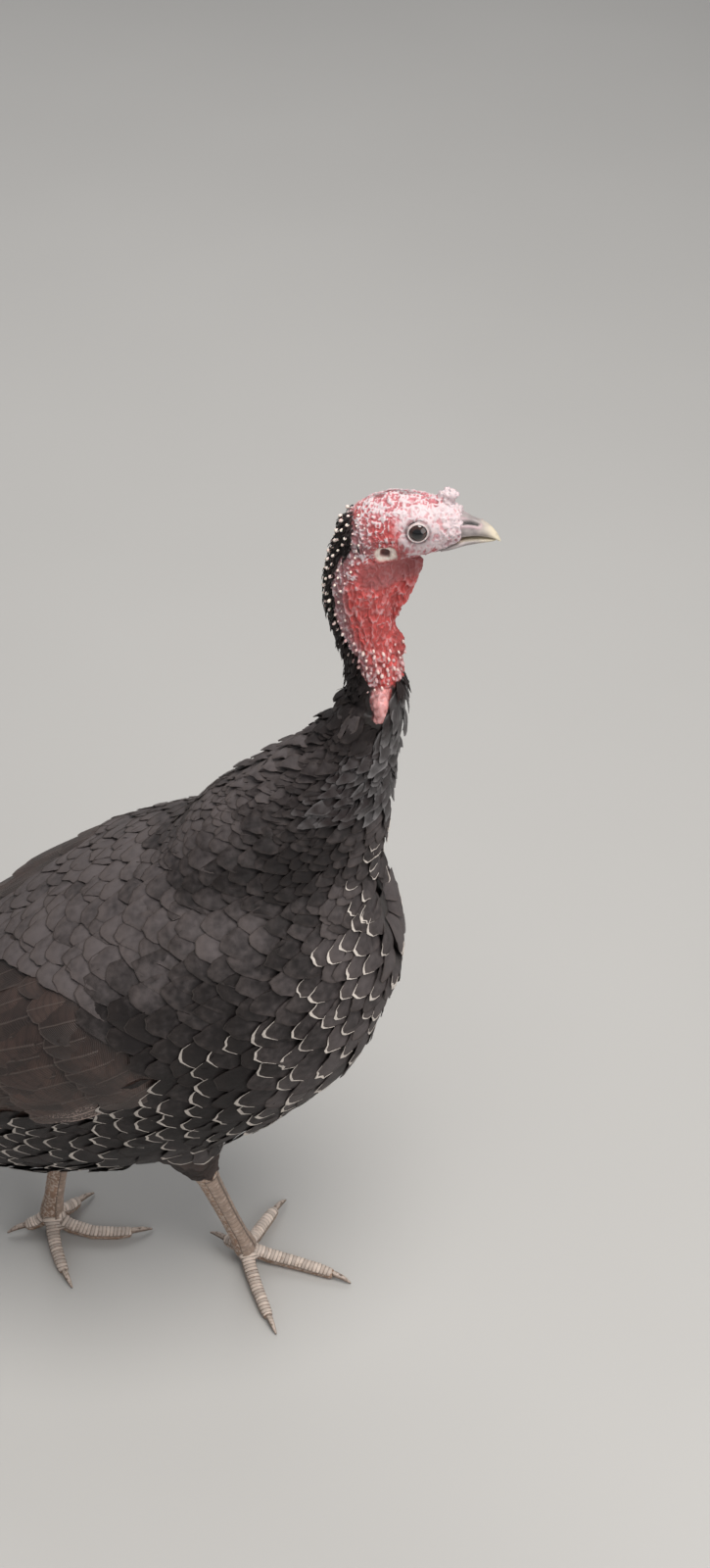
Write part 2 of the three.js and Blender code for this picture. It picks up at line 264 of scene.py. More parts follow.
def put_attribute(mesh, name, values):
    layer = mesh.attributes.get(name) or mesh.attributes.new(name, "FLOAT", "POINT")
    layer.data.foreach_set("value", np.asarray(values, np.float32))


def get_attribute(mesh, name):
    return read(mesh.attributes[name].data, "value")


def neighbour_mean(values, edges):
    """The mean of each vertex's neighbours."""
    count = len(values)
    a, b = edges.T
    sums = np.zeros((count, values.size // count))
    for k, column in enumerate(values.reshape(count, -1).T):
        sums[:, k] = np.bincount(a, column[b], count) + np.bincount(b, column[a], count)
    degree = np.bincount(a, minlength=count) + np.bincount(b, minlength=count)
    return (sums / np.maximum(degree, 1)[:, None]).reshape(values.shape)


def relaxed(values, edges, rounds, pull=0.5, push=0.0):
    """Smooths values over a mesh; with a push each round gives back the shrinking."""
    for _ in range(rounds):
        values = values + pull * (neighbour_mean(values, edges) - values)
        if push:
            values = values - push * (neighbour_mean(values, edges) - values)
    return values


def make_piece(name, mesh, material, replaces=()):
    """Links a mesh as a piece of the bird, riding on its one body."""
    piece = bpy.data.objects.new(name, mesh)
    bpy.context.scene.collection.objects.link(piece)
    mesh.materials.append(material)
    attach(piece, "root")
    if replaces:
        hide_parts(*replaces)


def mesh_from(name, vertices, faces, smooth_angle=None):
    mesh = bpy.data.meshes.new(name)
    mesh.from_pydata(np.asarray(vertices, float).tolist(), [], faces)
    mesh.update()
    mesh.polygons.foreach_set("use_smooth", np.ones(len(mesh.polygons), bool))
    if smooth_angle is not None:
        mesh.set_sharp_from_angle(angle=smooth_angle)
    return mesh


def lathed(name, points, rings, around):
    """A closed mesh of rings of points between two end points."""
    last = 1 + rings * around
    faces = []
    for k in range(around):
        after = (k + 1) % around
        faces.append((0, 1 + k, 1 + after))
        for start in range(1, last - around, around):
            faces.append((start + k, start + k + around, start + after + around, start + after))
        faces.append((last - around + k, last, last - around + after))
    mesh = mesh_from(name, points, faces)
    work = bmesh.new()
    work.from_mesh(mesh)
    bmesh.ops.recalc_face_normals(work, faces=work.faces)
    work.to_mesh(mesh)
    work.free()
    return mesh


def modified(mesh, kind, hidden=None, **options):
    """The mesh that a modifier makes of this one, where wanted only on its hidden vertices."""
    carrier = bpy.data.objects.new("carrier", mesh)
    bpy.context.scene.collection.objects.link(carrier)
    modifier = carrier.modifiers.new("change", kind)
    if hidden is not None:
        carrier.vertex_groups.new(name="hidden").add(np.flatnonzero(hidden).tolist(), 1.0, "REPLACE")
        options["vertex_group"] = "hidden"
    for option, value in options.items():
        setattr(modifier, option, value)
    evaluated = carrier.evaluated_get(bpy.context.evaluated_depsgraph_get())
    result = bpy.data.meshes.new_from_object(evaluated)
    bpy.data.objects.remove(carrier)
    bpy.data.meshes.remove(mesh)
    return result


def fused_mesh(nodes, voxel, swell=0.0):
    """Copies of CAD nodes, swelled over their gaps and remeshed to one closed mesh."""
    work = bmesh.new()
    for node in nodes:
        part = bmesh.new()
        part.from_mesh(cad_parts[node].data)
        bmesh.ops.remove_doubles(part, verts=part.verts, dist=0.01 * MM)
        part.normal_update()
        for vertex in part.verts:
            vertex.co += vertex.normal * swell
        mesh = bpy.data.meshes.new("part")
        part.to_mesh(mesh)
        work.from_mesh(mesh)
        part.free()
        bpy.data.meshes.remove(mesh)
    rough = bpy.data.meshes.new("rough")
    work.to_mesh(rough)
    work.free()
    return modified(rough, "REMESH", mode="VOXEL", voxel_size=voxel)


# ---------------- places from the frame
def node_points(*names):
    return np.concatenate([read(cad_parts[name].data.vertices, "co", 3) for name in names])


def gap_to(points, *nodes):
    """How far points lie from the nearest face of CAD nodes."""
    faces, start = [], 0
    for node in nodes:
        faces.append(triangles_of(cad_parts[node].data) + start)
        start += len(node_points(node))
    tree = BVHTree.FromPolygons(node_points(*nodes).tolist(), np.concatenate(faces).tolist())
    return np.array([tree.find_nearest(p)[3] for p in points.tolist()])


def middle_of(name):
    low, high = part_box(name)
    return np.array((low + high) / 2)


def end_of(name, direction, share=0.06):
    """The middle of the part of a node that lies furthest in a direction."""
    places = node_points(name)
    reach = places @ np.array(direction, float)
    return places[reach >= reach.max() - share * np.ptp(reach)].mean(axis=0)


def midline_of(name, direction, count):
    """Middles of a long node at even steps along a direction."""
    places = node_points(name)
    reach = places @ direction
    ends = np.linspace(reach.min(), reach.max(), count + 1)
    middles = []
    for start, stop in zip(ends[:-1], ends[1:]):
        over = 0.3 * (stop - start)
        inside = places[(reach >= start - over) & (reach <= stop + over)]
        if len(inside) > 2:
            middles.append((inside.min(axis=0) + inside.max(axis=0)) / 2)
    return np.array(middles)


BREAST = end_of("trunk", (1, 0, 0))
RUMP = end_of("trunk", (-1, 0, 0))
BACKWARD = unit(RUMP - BREAST)
UPWARD = unit(np.cross(BACKWARD, np.cross(UP, BACKWARD)))
NECK_TOP = end_of("neck_upper", UP)
NECK_MIDDLE = end_of("neck_upper", -UP)
NECK_BASE = end_of("neck_lower", (-1, 0, -0.4))
LEG_TOP = BREAST[2] - 0.1  # skin below this height is bare leg

HEAD_PITCH = math.radians(9)  # the bill is held this much above level
EYE_LINE = (middle_of("eye_left") + middle_of("eye_right")) / 2
EYE_OUT = float(np.linalg.norm(middle_of("eye_left") - middle_of("eye_right"))) / 2
HEAD_LEFT = unit(middle_of("eye_left") - middle_of("eye_right"))
HEAD_UP = unit(np.cross(unit(np.array([math.cos(HEAD_PITCH), 0, math.sin(HEAD_PITCH)])), HEAD_LEFT))
HEAD_AXES = np.array([np.cross(HEAD_LEFT, HEAD_UP), HEAD_LEFT, HEAD_UP])


def to_head(points):
    """Millimetres in the skull's own frame: ahead, left and up from the middle of the eye line."""
    return (points - EYE_LINE) @ HEAD_AXES.T / MM


def from_head(points):
    return np.asarray(points, float) * MM @ HEAD_AXES + EYE_LINE


def on_trunk(points):
    """How far back from the breast and how far up from the trunk's axis points lie."""
    away = points - BREAST
    return away @ BACKWARD, away @ UPWARD


def trunk_places(back, up, left):
    """Places this far back from the breast, up from the trunk's axis and to the left."""
    back, up, left = np.broadcast_arrays(back, up, left)
    return BREAST + np.outer(back, BACKWARD) + np.outer(up, UPWARD) + np.outer(left, LEFT)


# ---------------- shader tools
def maths(operation, reflected=False):
    """A method that adds a Math node between this value and another."""

    def method(self, other=0):
        inputs = {0: other, 1: self} if reflected else {0: self, 1: other}
        return self.finish.node("ShaderNodeMath", {"operation": operation}, inputs)

    return method


class Value:
    """A socket in a node tree. Arithmetic on it adds Math nodes."""

    def __init__(self, finish, socket):
        self.finish = finish
        self.socket = socket

    __add__, __radd__ = maths("ADD"), maths("ADD", True)
    __sub__, __rsub__ = maths("SUBTRACT"), maths("SUBTRACT", True)
    __mul__, __rmul__ = maths("MULTIPLY"), maths("MULTIPLY", True)
    __abs__, sine, higher = maths("ABSOLUTE"), maths("SINE"), maths("MAXIMUM")

    def between(self, low, high):
        """0 below the low value, 1 above the high one and smooth between them."""
        limits = {"Value": self, "From Min": low, "From Max": high}
        return self.finish.node("ShaderNodeMapRange", {"interpolation_type": "SMOOTHSTEP"}, limits)


class Finish:
    """A material under construction round one Principled shader."""

    def __init__(self, name, **fixed):
        self.material = bpy.data.materials.new(name)
        self.material.use_nodes = True
        self.tree = self.material.node_tree
        self.shader = self.tree.nodes["Principled BSDF"]
        self.paint(**fixed)

    def paint(self, **sockets):
        """Sets or links sockets of the shader, named with _ for each space."""
        for socket, value in sockets.items():
            self.feed(self.shader.inputs[socket.replace("_", " ")], value)

    def feed(self, socket, value):
        if isinstance(value, Value):
            self.tree.links.new(value.socket, socket)
        elif hasattr(value, "__len__"):
            socket.default_value = [*value, 1][: len(socket.default_value)]
        else:
            socket.default_value = value

    def node(self, kind, options=None, inputs=None, output=0):
        """One node of a kind: its options are set first, then the values or links of its sockets."""
        made = self.tree.nodes.new(kind)
        for option, value in (options or {}).items():
            setattr(made, option, value)
        for socket, value in (inputs or {}).items():
            self.feed(made.inputs[socket], value)
        return Value(self, made.outputs[output])

    def mix(self, share, first, second):
        return self.node("ShaderNodeMix", {"data_type": "RGBA"}, {0: share, 6: first, 7: second}, 2)

    def attribute(self, name):
        return self.node("ShaderNodeAttribute", {"attribute_name": name}, output=2)

    def layered(self, colour, coats):
        """A colour with coats of others over it, each given as its share and its colour."""
        for share, other in coats:
            colour = self.mix(share, colour, other)
        return colour

    def vane(self):
        """Across and along a feather, how near its sides, all from 0 to 1, and the feather's own tone."""
        place = self.node("ShaderNodeUVMap", {"uv_map": "Vane"})
        across, along = (self.node("ShaderNodeSeparateXYZ", None, {0: place}, k) for k in range(2))
        return across, along, abs(across * 2 - 1), self.attribute("tone")

    def noise(self, scale, detail=2.0, stretch=(1, 1, 1)):
        place = self.node("ShaderNodeTexCoord", output=3)
        vector = self.node("ShaderNodeVectorMath", {"operation": "MULTIPLY"}, {0: place, 1: stretch})
        return self.node("ShaderNodeTexNoise", None, {"Vector": vector, "Scale": scale, "Detail": detail})

    def bump(self, height, distance, strength=1.0):
        inputs = {"Height": height, "Distance": distance, "Strength": strength}
        self.paint(Normal=self.node("ShaderNodeBump", None, inputs))


# ---------------- skin: form
SKIN_VOXEL = 1.25 * MM
SKIN_SWELL = 0.38 * MM  # closes the gaps between the solids
HIDDEN_FACES = 34000  # triangles left under the feathers
BARE_REACH = 26 * MM  # over this distance from bare skin the coat grows to its depth
NECK_SPREAD = 0.42  # how fast the skin of the lower neck widens downwards, under its feathers
NECK_LEAN = 0.45  # how fast the middle of the lower neck runs back downwards
FACE_FRONT = [  # millimetres up from the eye, and how far ahead of it throat and face end there
    (-54, -19.5), (-44, -13.5), (-33, -7.5), (-27, -2.5), (-23, 1.5), (-20, 5), (-16, 14), (-10, 18),
    (-3, 20), (4, 19.5), (8, 21),
]
# The lids round an eye as rings: distance from the eye's axis, then height over the eyeball's middle, in
# shares of the eyeball's radius. From the furrow round the lids over the rim and down behind the opening.
LID_RINGS = [
    (1.02, 0.6), (0.94, 0.585), (0.88, 0.57), (0.825, 0.585), (0.785, 0.68), (0.75, 0.79), (0.705, 0.835),
    (0.665, 0.825), (0.635, 0.78), (0.62, 0.72), (0.64, 0.62), (0.42, 0.4),
]
EYE_SLANT = math.radians(28)
EYE_OVAL = 0.05
SOCKET = 1.16  # the skin is opened this many eyeball radii from the eye's axis


def coat_depths(places, edges):
    """How deep the coat is over each point, the share of it that is thigh and how far bare skin is."""
    coat, *_ = settings()
    bare = gap_to(places, *BARE_HEAD, *SHANKS, *TOES)
    body = gap_to(places, "trunk", "neck_lower", *WINGS)
    on_thigh = smooth(-4 * MM, 4 * MM, body - gap_to(places, *THIGHS))
    depth = coat.body_depth + (coat.thigh_depth - coat.body_depth) * on_thigh
    depth = depth * smooth(1 * MM, BARE_REACH, bare)
    return relaxed(depth, edges, 12), relaxed(on_thigh, edges, 6), bare


def neck_line():
    """The middle line of the upper neck, carried on into the head."""
    middles = midline_of("neck_upper", UP, 7)
    head = from_head([(-17, 0, -8), (-17, 0, 14)])
    return np.concatenate([middles[middles[:, 2] < head[0, 2]], head])


def off_neck(points, axis):
    """How far points lie from the neck's middle line along one axis."""
    line = neck_line()
    return points[:, axis] - np.interp(points[:, 2], line[:, 2], line[:, axis])


def neck_turn(points):
    """Degrees round the neck and head from the throat to the nape."""
    return np.degrees(np.arctan2(np.abs(off_neck(points, 1)), off_neck(points, 0)))


def neck_sunk(places):
    """How far points of the lower neck's top lie outside a cone that carries on from the bare neck."""
    foot = node_points("neck_upper")
    foot = foot[foot[:, 2] < foot[:, 2].min() + 12 * MM]
    middle = foot.mean(axis=0)
    bare_radius = float(np.percentile(np.linalg.norm((foot - middle)[:, :2], axis=1), 60))
    below = np.clip(NECK_MIDDLE[2] + 16 * MM - places[:, 2], 0, None)
    ahead = off_neck(places, 0) + below * NECK_LEAN
    away = np.stack([ahead, places[:, 1] - middle[1], np.zeros(len(places))], axis=1)
    over = np.clip(np.linalg.norm(away, axis=1) - bare_radius - NECK_SPREAD * below, 0, 14 * MM)
    near = smooth(NECK_MIDDLE[2] - 75 * MM, NECK_MIDDLE[2] - 30 * MM, places[:, 2])
    above = smooth(NECK_MIDDLE[2] + 26 * MM, NECK_MIDDLE[2] + 12 * MM, places[:, 2])
    beside_lobes = smooth(1.5 * MM, 6 * MM, gap_to(places, *LOBES))
    amount = over * near * above
    return unit(away) * amount[:, None] * beside_lobes[:, None], amount * beside_lobes


def sink_skin(mesh):
    """Presses the skin in by the coat's depth and calms it there; returns which of it is hidden."""
    places, _, edges = mesh_arrays(mesh)
    places = relaxed(places, edges, 10, 0.5, 0.46)
    put_points(mesh, places)
    depth, thigh, bare = coat_depths(places, edges)
    _, normals, _ = mesh_arrays(mesh)
    normals = unit(relaxed(normals, edges, 10))
    inward, sunk = neck_sunk(places)
    depth = depth * (1 - smooth(0, 3 * MM, sunk))
    places = places - normals * depth[:, None] - inward
    depth = relaxed(np.maximum(depth, sunk), edges, 8)
    hidden = smooth(0.3, 0.8, depth / depth.max())[:, None]
    places = places + (relaxed(places, edges, 24) - places) * hidden
    shoulder = smooth(90 * MM, 40 * MM, np.abs(places[:, 2] - NECK_BASE[2]))[:, None]
    put_points(mesh, places + (relaxed(places, edges, 130, 0.95) - places) * hidden * shoulder)
    put_attribute(mesh, "coat", depth)
    put_attribute(mesh, "thigh", thigh)
    return bare > 16 * MM


def refined(mesh, wanted):
    """Splits every edge of the wanted vertices once."""
    work = bmesh.new()
    work.from_mesh(mesh)
    edges = [e for e in work.edges if all(wanted[v.index] for v in e.verts)]
    bmesh.ops.subdivide_edges(work, edges=edges, cuts=1, use_grid_fill=True)
    work.to_mesh(mesh)
    work.free()
    mesh.update()


def set_back_face(mesh):
    """Ends the face behind the nostrils, so that the bill's horn comes out of it."""
    places, *_ = mesh_arrays(mesh)
    local = to_head(places)
    ups, fronts = zip(*FACE_FRONT)
    limit = np.interp(local[:, 2], ups, fronts) + 40 * (local[:, 2] < ups[0])
    ahead = np.clip(local[:, 0] - limit, 0, None)
    off_snood = smooth(0.5, 3, gap_to(places, "snood") / MM)
    local[:, 0] -= (ahead - ahead / (1 + ahead / 1.2)) * smooth(11, 8, local[:, 2]) * off_snood
    put_points(mesh, from_head(local))


def boundary_loop(work, side):
    """The vertices round the only hole of a mesh, in order, seen from that side of the head."""
    following = {}
    for edge in (e for e in work.edges if e.is_boundary):
        for a, b in (edge.verts, reversed(edge.verts)):
            following.setdefault(a, []).append(b)
    loop, before = [next(iter(following))], None
    while True:
        step = next(v for v in following[loop[-1]] if v is not before)
        if step is loop[0]:
            break
        before = loop[-1]
        loop.append(step)
    places = to_head(np.array([v.co for v in loop]))
    turns = np.unwrap(np.arctan2(places[:, 2], places[:, 0]))
    return loop if (turns[-1] - turns[0]) * side > 0 else loop[::-1]


def set_lids(mesh):
    """Opens the skin round each eye and closes it again with the rings of the lids."""
    _, head, _ = settings()
    radius = head.eye_radius / MM
    work = bmesh.new()
    work.from_mesh(mesh)
    ridge = work.verts.layers.float.new("lid")
    for side in SIDES.values():
        local = to_head(np.array([v.co for v in work.verts]))
        near = (np.hypot(local[:, 0], local[:, 2]) < SOCKET * radius) & (local[:, 1] * side > 4)
        doomed = {f for v, hit in zip(work.verts, near) if hit for f in v.link_faces}
        bmesh.ops.delete(work, geom=list(doomed), context="FACES")
        ring = boundary_loop(work, side)
        outer = to_head(np.array([v.co for v in ring]))
        turns = np.arctan2(outer[:, 2], outer[:, 0])
        oval = 1 + EYE_OVAL * np.cos(2 * (turns - EYE_SLANT))
        for step, (out, height) in enumerate(LID_RINGS):
            reach = out * radius * oval
            lift = np.full(len(turns), EYE_OUT / MM + height * radius)
            if step == 0:
                lift = 0.45 * lift + 0.55 * np.abs(outer[:, 1])
            local = np.stack([reach * np.cos(turns), side * lift, reach * np.sin(turns)], axis=1)
            inner = [work.verts.new(p) for p in from_head(local)]
            for vertex in inner:
                vertex[ridge] = float(bump(out, 0.7, 0.09))
            for k in range(len(ring)):
                after = (k + 1) % len(ring)
                work.faces.new((ring[k], ring[after], inner[after], inner[k]))
            ring = inner
        work.faces.new(ring)
    bmesh.ops.recalc_face_normals(work, faces=work.faces)
    for face in work.faces:
        face.smooth = True
    work.to_mesh(mesh)
    work.free()
    mesh.update()


def smooth_round_eyes(mesh):
    """Evens the ring of skin between the lids and the face."""
    places, _, edges = mesh_arrays(mesh)
    local = to_head(places)
    from_eye = np.hypot(local[:, 0], local[:, 2])
    beside = (np.abs(local[:, 1]) > 4) & (get_attribute(mesh, "lid") < 0.02)
    share = (smooth(6.7, 7.6, from_eye) * (1 - smooth(10.5, 13, from_eye)) * beside)[:, None]
    for _ in range(14):
        places = places + 0.6 * share * (neighbour_mean(places, edges) - places)
    put_points(mesh, places)


# ---------------- skin: relief and markings
BARE_FRONT = 540 * MM  # the bare throat ends at this height
NAPE_TURN = (108, 150)  # degrees from the throat where feathers begin, at the neck's foot and at the head
EAR = (-18.0, -11.5)  # millimetres ahead and up of the eye
GAPE = [(3.0, -16.2), (9.9, -13.6), (18.5, -10.8), (25.0, -9.8)]  # the line of the mouth, ahead and up


def nape_edge(height):
    """Degrees from the throat where the nape's feathers begin; the height is 1 at the head."""
    return NAPE_TURN[0] + (NAPE_TURN[1] - NAPE_TURN[0]) * height


def line_distance(points, line):
    """Distance of points in a plane from a line of straight pieces."""
    best = np.full(len(points), np.inf)
    for start, stop in zip(np.array(line[:-1]), np.array(line[1:])):
        span = stop - start
        share = np.clip((points - start) @ span / (span @ span), 0, 1)
        best = np.minimum(best, np.linalg.norm(points - start - share[:, None] * span, axis=1))
    return best


def feathered_share(points, coat_share):
    """1 where feathers cover the skin, on the body, the lower neck and up the nape."""
    up = to_head(points)[:, 2]
    edge = nape_edge(smooth(node_points("neck_upper")[:, 2].min(), EYE_LINE[2] - 30 * MM, points[:, 2]))
    ragged = 9 * layered_noise(points / (4 * MM), 2, 3)
    nape = smooth(edge - 6, edge + 6, neck_turn(points) + ragged) * (1 - smooth(0, 11, up + 0.5 * ragged))
    below = 1 - smooth(BARE_FRONT - 3 * MM, BARE_FRONT + 3 * MM, points[:, 2] + ragged * 0.3 * MM)
    shown = np.where(points[:, 2] < LEG_TOP, 0, np.maximum(nape, below))
    hanging = smooth(1.5 * MM, 4 * MM, gap_to(points, *LOBES))
    return np.maximum(shown, smooth(0.1, 0.25, coat_share)) * hanging


def head_relief(places, lid):
    """Heights in millimetres and markings of the bare skin of head and neck, painted shade among the
    markings.
    """
    local = to_head(places)
    ahead, left, up = local.T
    from_eye = np.hypot(ahead, up)
    in_mm = places / MM
    turn = neck_turn(places)
    beside = smooth(4, 9, np.abs(left))
    in_ear = local[:, [0, 2]] - EAR + 0.5 * noise(in_mm / 2.5, 12)[:, None]
    around_ear = np.sum(np.abs(in_ear / (5.7, 4.7)) ** 3, axis=1) ** (1 / 3)
    in_hole = np.linalg.norm((in_ear - (-0.7, 0.3)) / (2.8, 3.3), axis=1)

    crown = smooth(3, 11, up)
    bill_base = smooth(8, 14, ahead) * smooth(-7, -1, up)
    lores = smooth(6, 12, ahead) * beside
    round_eye = (1 - smooth(10.5, 17, from_eye)) * beside
    ear_patch = (1 - smooth(0.85, 1.1, around_ear)) * beside
    ear_hole = (1 - smooth(0.75, 1.15, in_hole)) * beside
    # Painted shade above and ahead of the ear.
    shade_above_ear = bump(around_ear, 1.45, 0.4) * smooth(-0.4, 0.6, in_ear @ (0.08, 0.13)) * beside
    neck = 1 - smooth(-34, -24, up)
    cheek = smooth(-36, -29, up) * (1 - smooth(-20, -14, up)) * smooth(-38, -28, ahead)
    web = smooth(-6, 6, ahead + 0.55 * (up + 20)) * smooth(-62, -50, up) * (1 - smooth(-20, -15, up))
    web *= 1 - smooth(55, 90, turn)
    calm = np.clip(0.85 * round_eye + 1.3 * ear_patch + cheek + 0.8 * web, 0, 1)
    rough = (1 - calm) * (1 - neck)
    low_neck = neck * (1 - smooth(-88, -58, up))
    edge = nape_edge(smooth(-105, -30, up))
    border = smooth(edge - 42, edge - 14, turn) * (1 - smooth(2, 10, up))
    on_wattle = smooth(2.5 * MM, 1 * MM, gap_to(places, "wattle"))
    on_caruncle = smooth(1.2 * MM, 0.4 * MM, gap_to(places, "caruncle"))

    knobs = pebbles(in_mm / 2.3, 1)
    big_knobs = pebbles(in_mm / 3.8, 2)
    winding = worms(in_mm / 2.1, 4)
    ripples = worms(in_mm / 3.4 + 0.4 * noise(in_mm / 3, 15)[:, None], 14)
    folds = worms(in_mm / np.array([2.8, 2.8, 8.0]), 5)
    beads = pebbles(in_mm / np.array([2.9, 2.9, 3.8]), 6)

    height = rough * (0.3 * knobs + 0.75 * winding + 0.35 * crown * ripples)
    height += bill_base * 1.1 * big_knobs + 0.35 * lores * ripples
    height += neck * (1.5 * folds + 0.4 * beads * (1 - folds)) + low_neck * 0.9 * beads
    height += 0.08 * layered_noise(in_mm / 0.9, 2, 7) + 0.3 * round_eye * ripples
    height += 0.25 * cheek * worms(in_mm / 5, 8) + 0.25 * web * folds
    height += 0.55 * bump(around_ear, 1.15, 0.2) * beside - 1.9 * ear_hole
    gape = line_distance(local[:, [0, 2]], GAPE)
    at_side = smooth(3, 5, np.abs(left))
    mouth = (1 - smooth(0.2, 1.0, gape)) * at_side
    height += 0.35 * bump(gape, 1.7, 0.6) * at_side - 0.9 * mouth
    height *= smooth(8.2, 10.0, from_eye) * beside + (1 - beside)
    height *= (1 - 0.6 * on_wattle) * (1 - smooth(0.1, 0.6, lid))

    crest = rough * np.maximum(0.45 * knobs, winding) + crown * 0.3 * ripples
    crest += neck * np.maximum(0.8 * folds, beads * (0.35 + 0.65 * np.maximum(low_neck, border)))
    crest = np.clip(crest + big_knobs * bill_base + 0.5 * round_eye * ripples, 0, 1)
    sharp = smooth(0.3, 0.8, crest)
    lidded = smooth(0.25, 0.7, lid)
    streaks = crown * (1 - smooth(1.4, 4.0, np.abs(left + 1.5 * noise(in_mm / 6, 9))))
    streaks *= smooth(-30, -20, ahead) * (1 - smooth(2, 10, ahead))
    streaks *= smooth(0.0, 0.45, noise(in_mm / np.array([7.0, 2.2, 4.0]), 10))
    face = np.clip(round_eye * smooth(-15, -6, ahead) + bill_base + lores, 0, 1)
    top = crown * smooth(-36, -16, ahead)
    throat = smooth(-34, -18, up) * smooth(-14, -4, ahead) * (1 - smooth(-16, -12, up))
    pale = face * (0.62 + 0.38 * sharp) + top * 0.7 * sharp + 0.75 * lidded
    pale += 0.85 * rough * (1 - 0.6 * top) * sharp + 0.45 * throat * (0.4 + 0.6 * folds)
    pale += 0.48 * neck * crest**1.3 * (0.7 + 0.1 * low_neck + 0.4 * border)
    pale = pale * (1 - 0.9 * on_wattle) * (1 - 0.95 * on_caruncle) + 0.3 * on_wattle
    grey = lores * (1 - bill_base) * smooth(-0.3, 0.4, noise(in_mm / 3, 16))
    grey += 0.45 * bump(from_eye, 7.3, 1.0) * beside
    # Painted shade in the ear opening, along the gape and above the ear; the crown streaks and the caruncle
    # are dark marks of their own.
    shade = ear_hole + mouth + 0.7 * streaks + 0.45 * shade_above_ear + 0.4 * on_caruncle
    marks = {
        "pale": pale * (1 - 0.85 * cheek) * (1 - 0.5 * web) * (1 - ear_patch),
        "rosy": face + 0.75 * top + throat + 0.25 * rough,
        "crest": crest,
        "dusky": cheek * 0.9 + 0.8 * border * neck + 0.5 * border * (1 - neck),
        "mauve": 0.75 * grey * (1 - lidded) + 0.5 * border * smooth(-100, -60, up),
        "web": np.maximum(web, 0.6 * on_wattle),
        "cream": np.maximum(ear_patch * (1 - ear_hole), 0.3 * lidded),
        # Painted shade in the furrow round the lids is added here.
        "shade": shade + 0.65 * bump(from_eye, 6.15, 0.75) * beside,
    }
    return height, {name: np.clip(values, 0, 1) for name, values in marks.items()}


def set_relief(mesh):
    """Raises the folds, knobs and scales of the bare skin and paints the markings, painted shade among them,
    as attributes.
    """
    places, normals, _ = mesh_arrays(mesh)
    coat, *_ = settings()
    feathered = feathered_share(places, get_attribute(mesh, "coat") / coat.body_depth)
    height, marks = head_relief(places, get_attribute(mesh, "lid"))
    leg = places[:, 2] < LEG_TOP
    scales = pebbles(places / (1.7 * MM), 11)
    height = np.where(leg, 0.22 * scales, height * (1 - 0.8 * feathered))
    for name, values in marks.items():
        put_attribute(mesh, name, np.where(leg, scales if name == "crest" else 0, values))
    put_attribute(mesh, "leg", leg)
    put_attribute(mesh, "feathered", feathered)
    grounded = smooth(0.3 * MM, 1.5 * MM, places[:, 2])
    put_points(mesh, places + normals * (height * grounded * MM)[:, None])


def skin_finish():
    *_, colours = settings()
    skin = Finish(
        "turkey_skin", Subsurface_Weight=0.12, Subsurface_Scale=1.2 * MM, Subsurface_Radius=(1.0, 0.35, 0.25)
    )
    mottle = skin.noise(260, 4)
    blotch = skin.noise(55, 3)
    lines = (1 - abs(skin.noise(290, 1, (1, 1, 0.6)) - 0.5) * 6).between(0.1, 0.9)
    lines = lines * (1 - skin.attribute("web") * 0.85)
    pale = (skin.attribute("pale") + (mottle - 0.5) * 0.25 + (lines - 0.45) * 0.45).between(0.12, 0.88)
    # Painted shade: darker red in the furrows between the ridges.
    furrow = (1 - skin.attribute("crest")).between(0.5, 1) * (1 - pale) * 0.5
    leg = skin.mix(blotch.between(0.3, 0.7), colours.shank, colours.shank * 1.5)
    leg = skin.mix(skin.attribute("crest").between(0.1, 0.8) * 0.75, leg, colours.scute * 0.7)
    coats = [
        (skin.attribute("rosy") * 0.85, colours.rosy_skin),
        (skin.attribute("dusky"), colours.dusky_skin),
        (skin.attribute("mauve"), colours.mauve_skin),
        (skin.attribute("web"), colours.orange_skin),
        # Painted shade in the furrows.
        (furrow, colours.red_skin * 0.5),
        (pale, colours.pale_skin),
        (skin.attribute("mauve") * 0.4, colours.mauve_skin),
        (skin.attribute("cream"), colours.white_skin),
        # Painted shade of ear, gape, lid furrow and above the ear, with the dark streaks and the caruncle,
        # towards dark skin.
        (skin.attribute("shade") * (0.6 + 0.4 * mottle), colours.dark_skin),
        (skin.attribute("leg"), leg),
        (skin.attribute("feathered"), colours.dark_skin),
    ]
    base = skin.mix(blotch.between(0.35, 0.7), colours.red_skin, colours.red_skin * 1.25)
    skin.paint(Base_Color=skin.layered(base, coats), Roughness=0.42 + 0.22 * mottle)
    grain = skin.noise(700, 2) * 0.6 + 0.5 * mottle
    skin.bump(grain + 1.4 * lines * (1 - skin.attribute("feathered")), 0.3 * MM, 0.6)
    return skin.material


class TURKEY_OT_skin(bpy.types.Operator):
    """One skin from the crown to the toes, inside the feathers, with the folds and lids of the head"""

    bl_idname = "turkey.skin"
    bl_label = "Skin"

    def execute(self, context):
        mesh = fused_mesh(FLESH, SKIN_VOXEL, SKIN_SWELL)
        hidden = sink_skin(mesh)
        shown_faces = len(mesh.polygons) * 2 * (1 - hidden.mean())
        ratio = (shown_faces + HIDDEN_FACES) / (len(mesh.polygons) * 2)
        mesh = modified(mesh, "DECIMATE", hidden, ratio=ratio)
        places, *_ = mesh_arrays(mesh)
        above = smooth(BARE_FRONT - 25 * MM, BARE_FRONT - 20 * MM, places[:, 2]) > 0.5
        refined(mesh, above & (get_attribute(mesh, "coat") < 2 * MM))
        places, _, edges = mesh_arrays(mesh)
        put_points(mesh, relaxed(places, edges, 2, 0.5, 0.5))
        for step in (set_back_face, set_lids, smooth_round_eyes, set_relief):
            step(mesh)
        mesh.name = "skin"
        make_piece("skin", mesh, skin_finish(), FLESH)
        return {"FINISHED"}


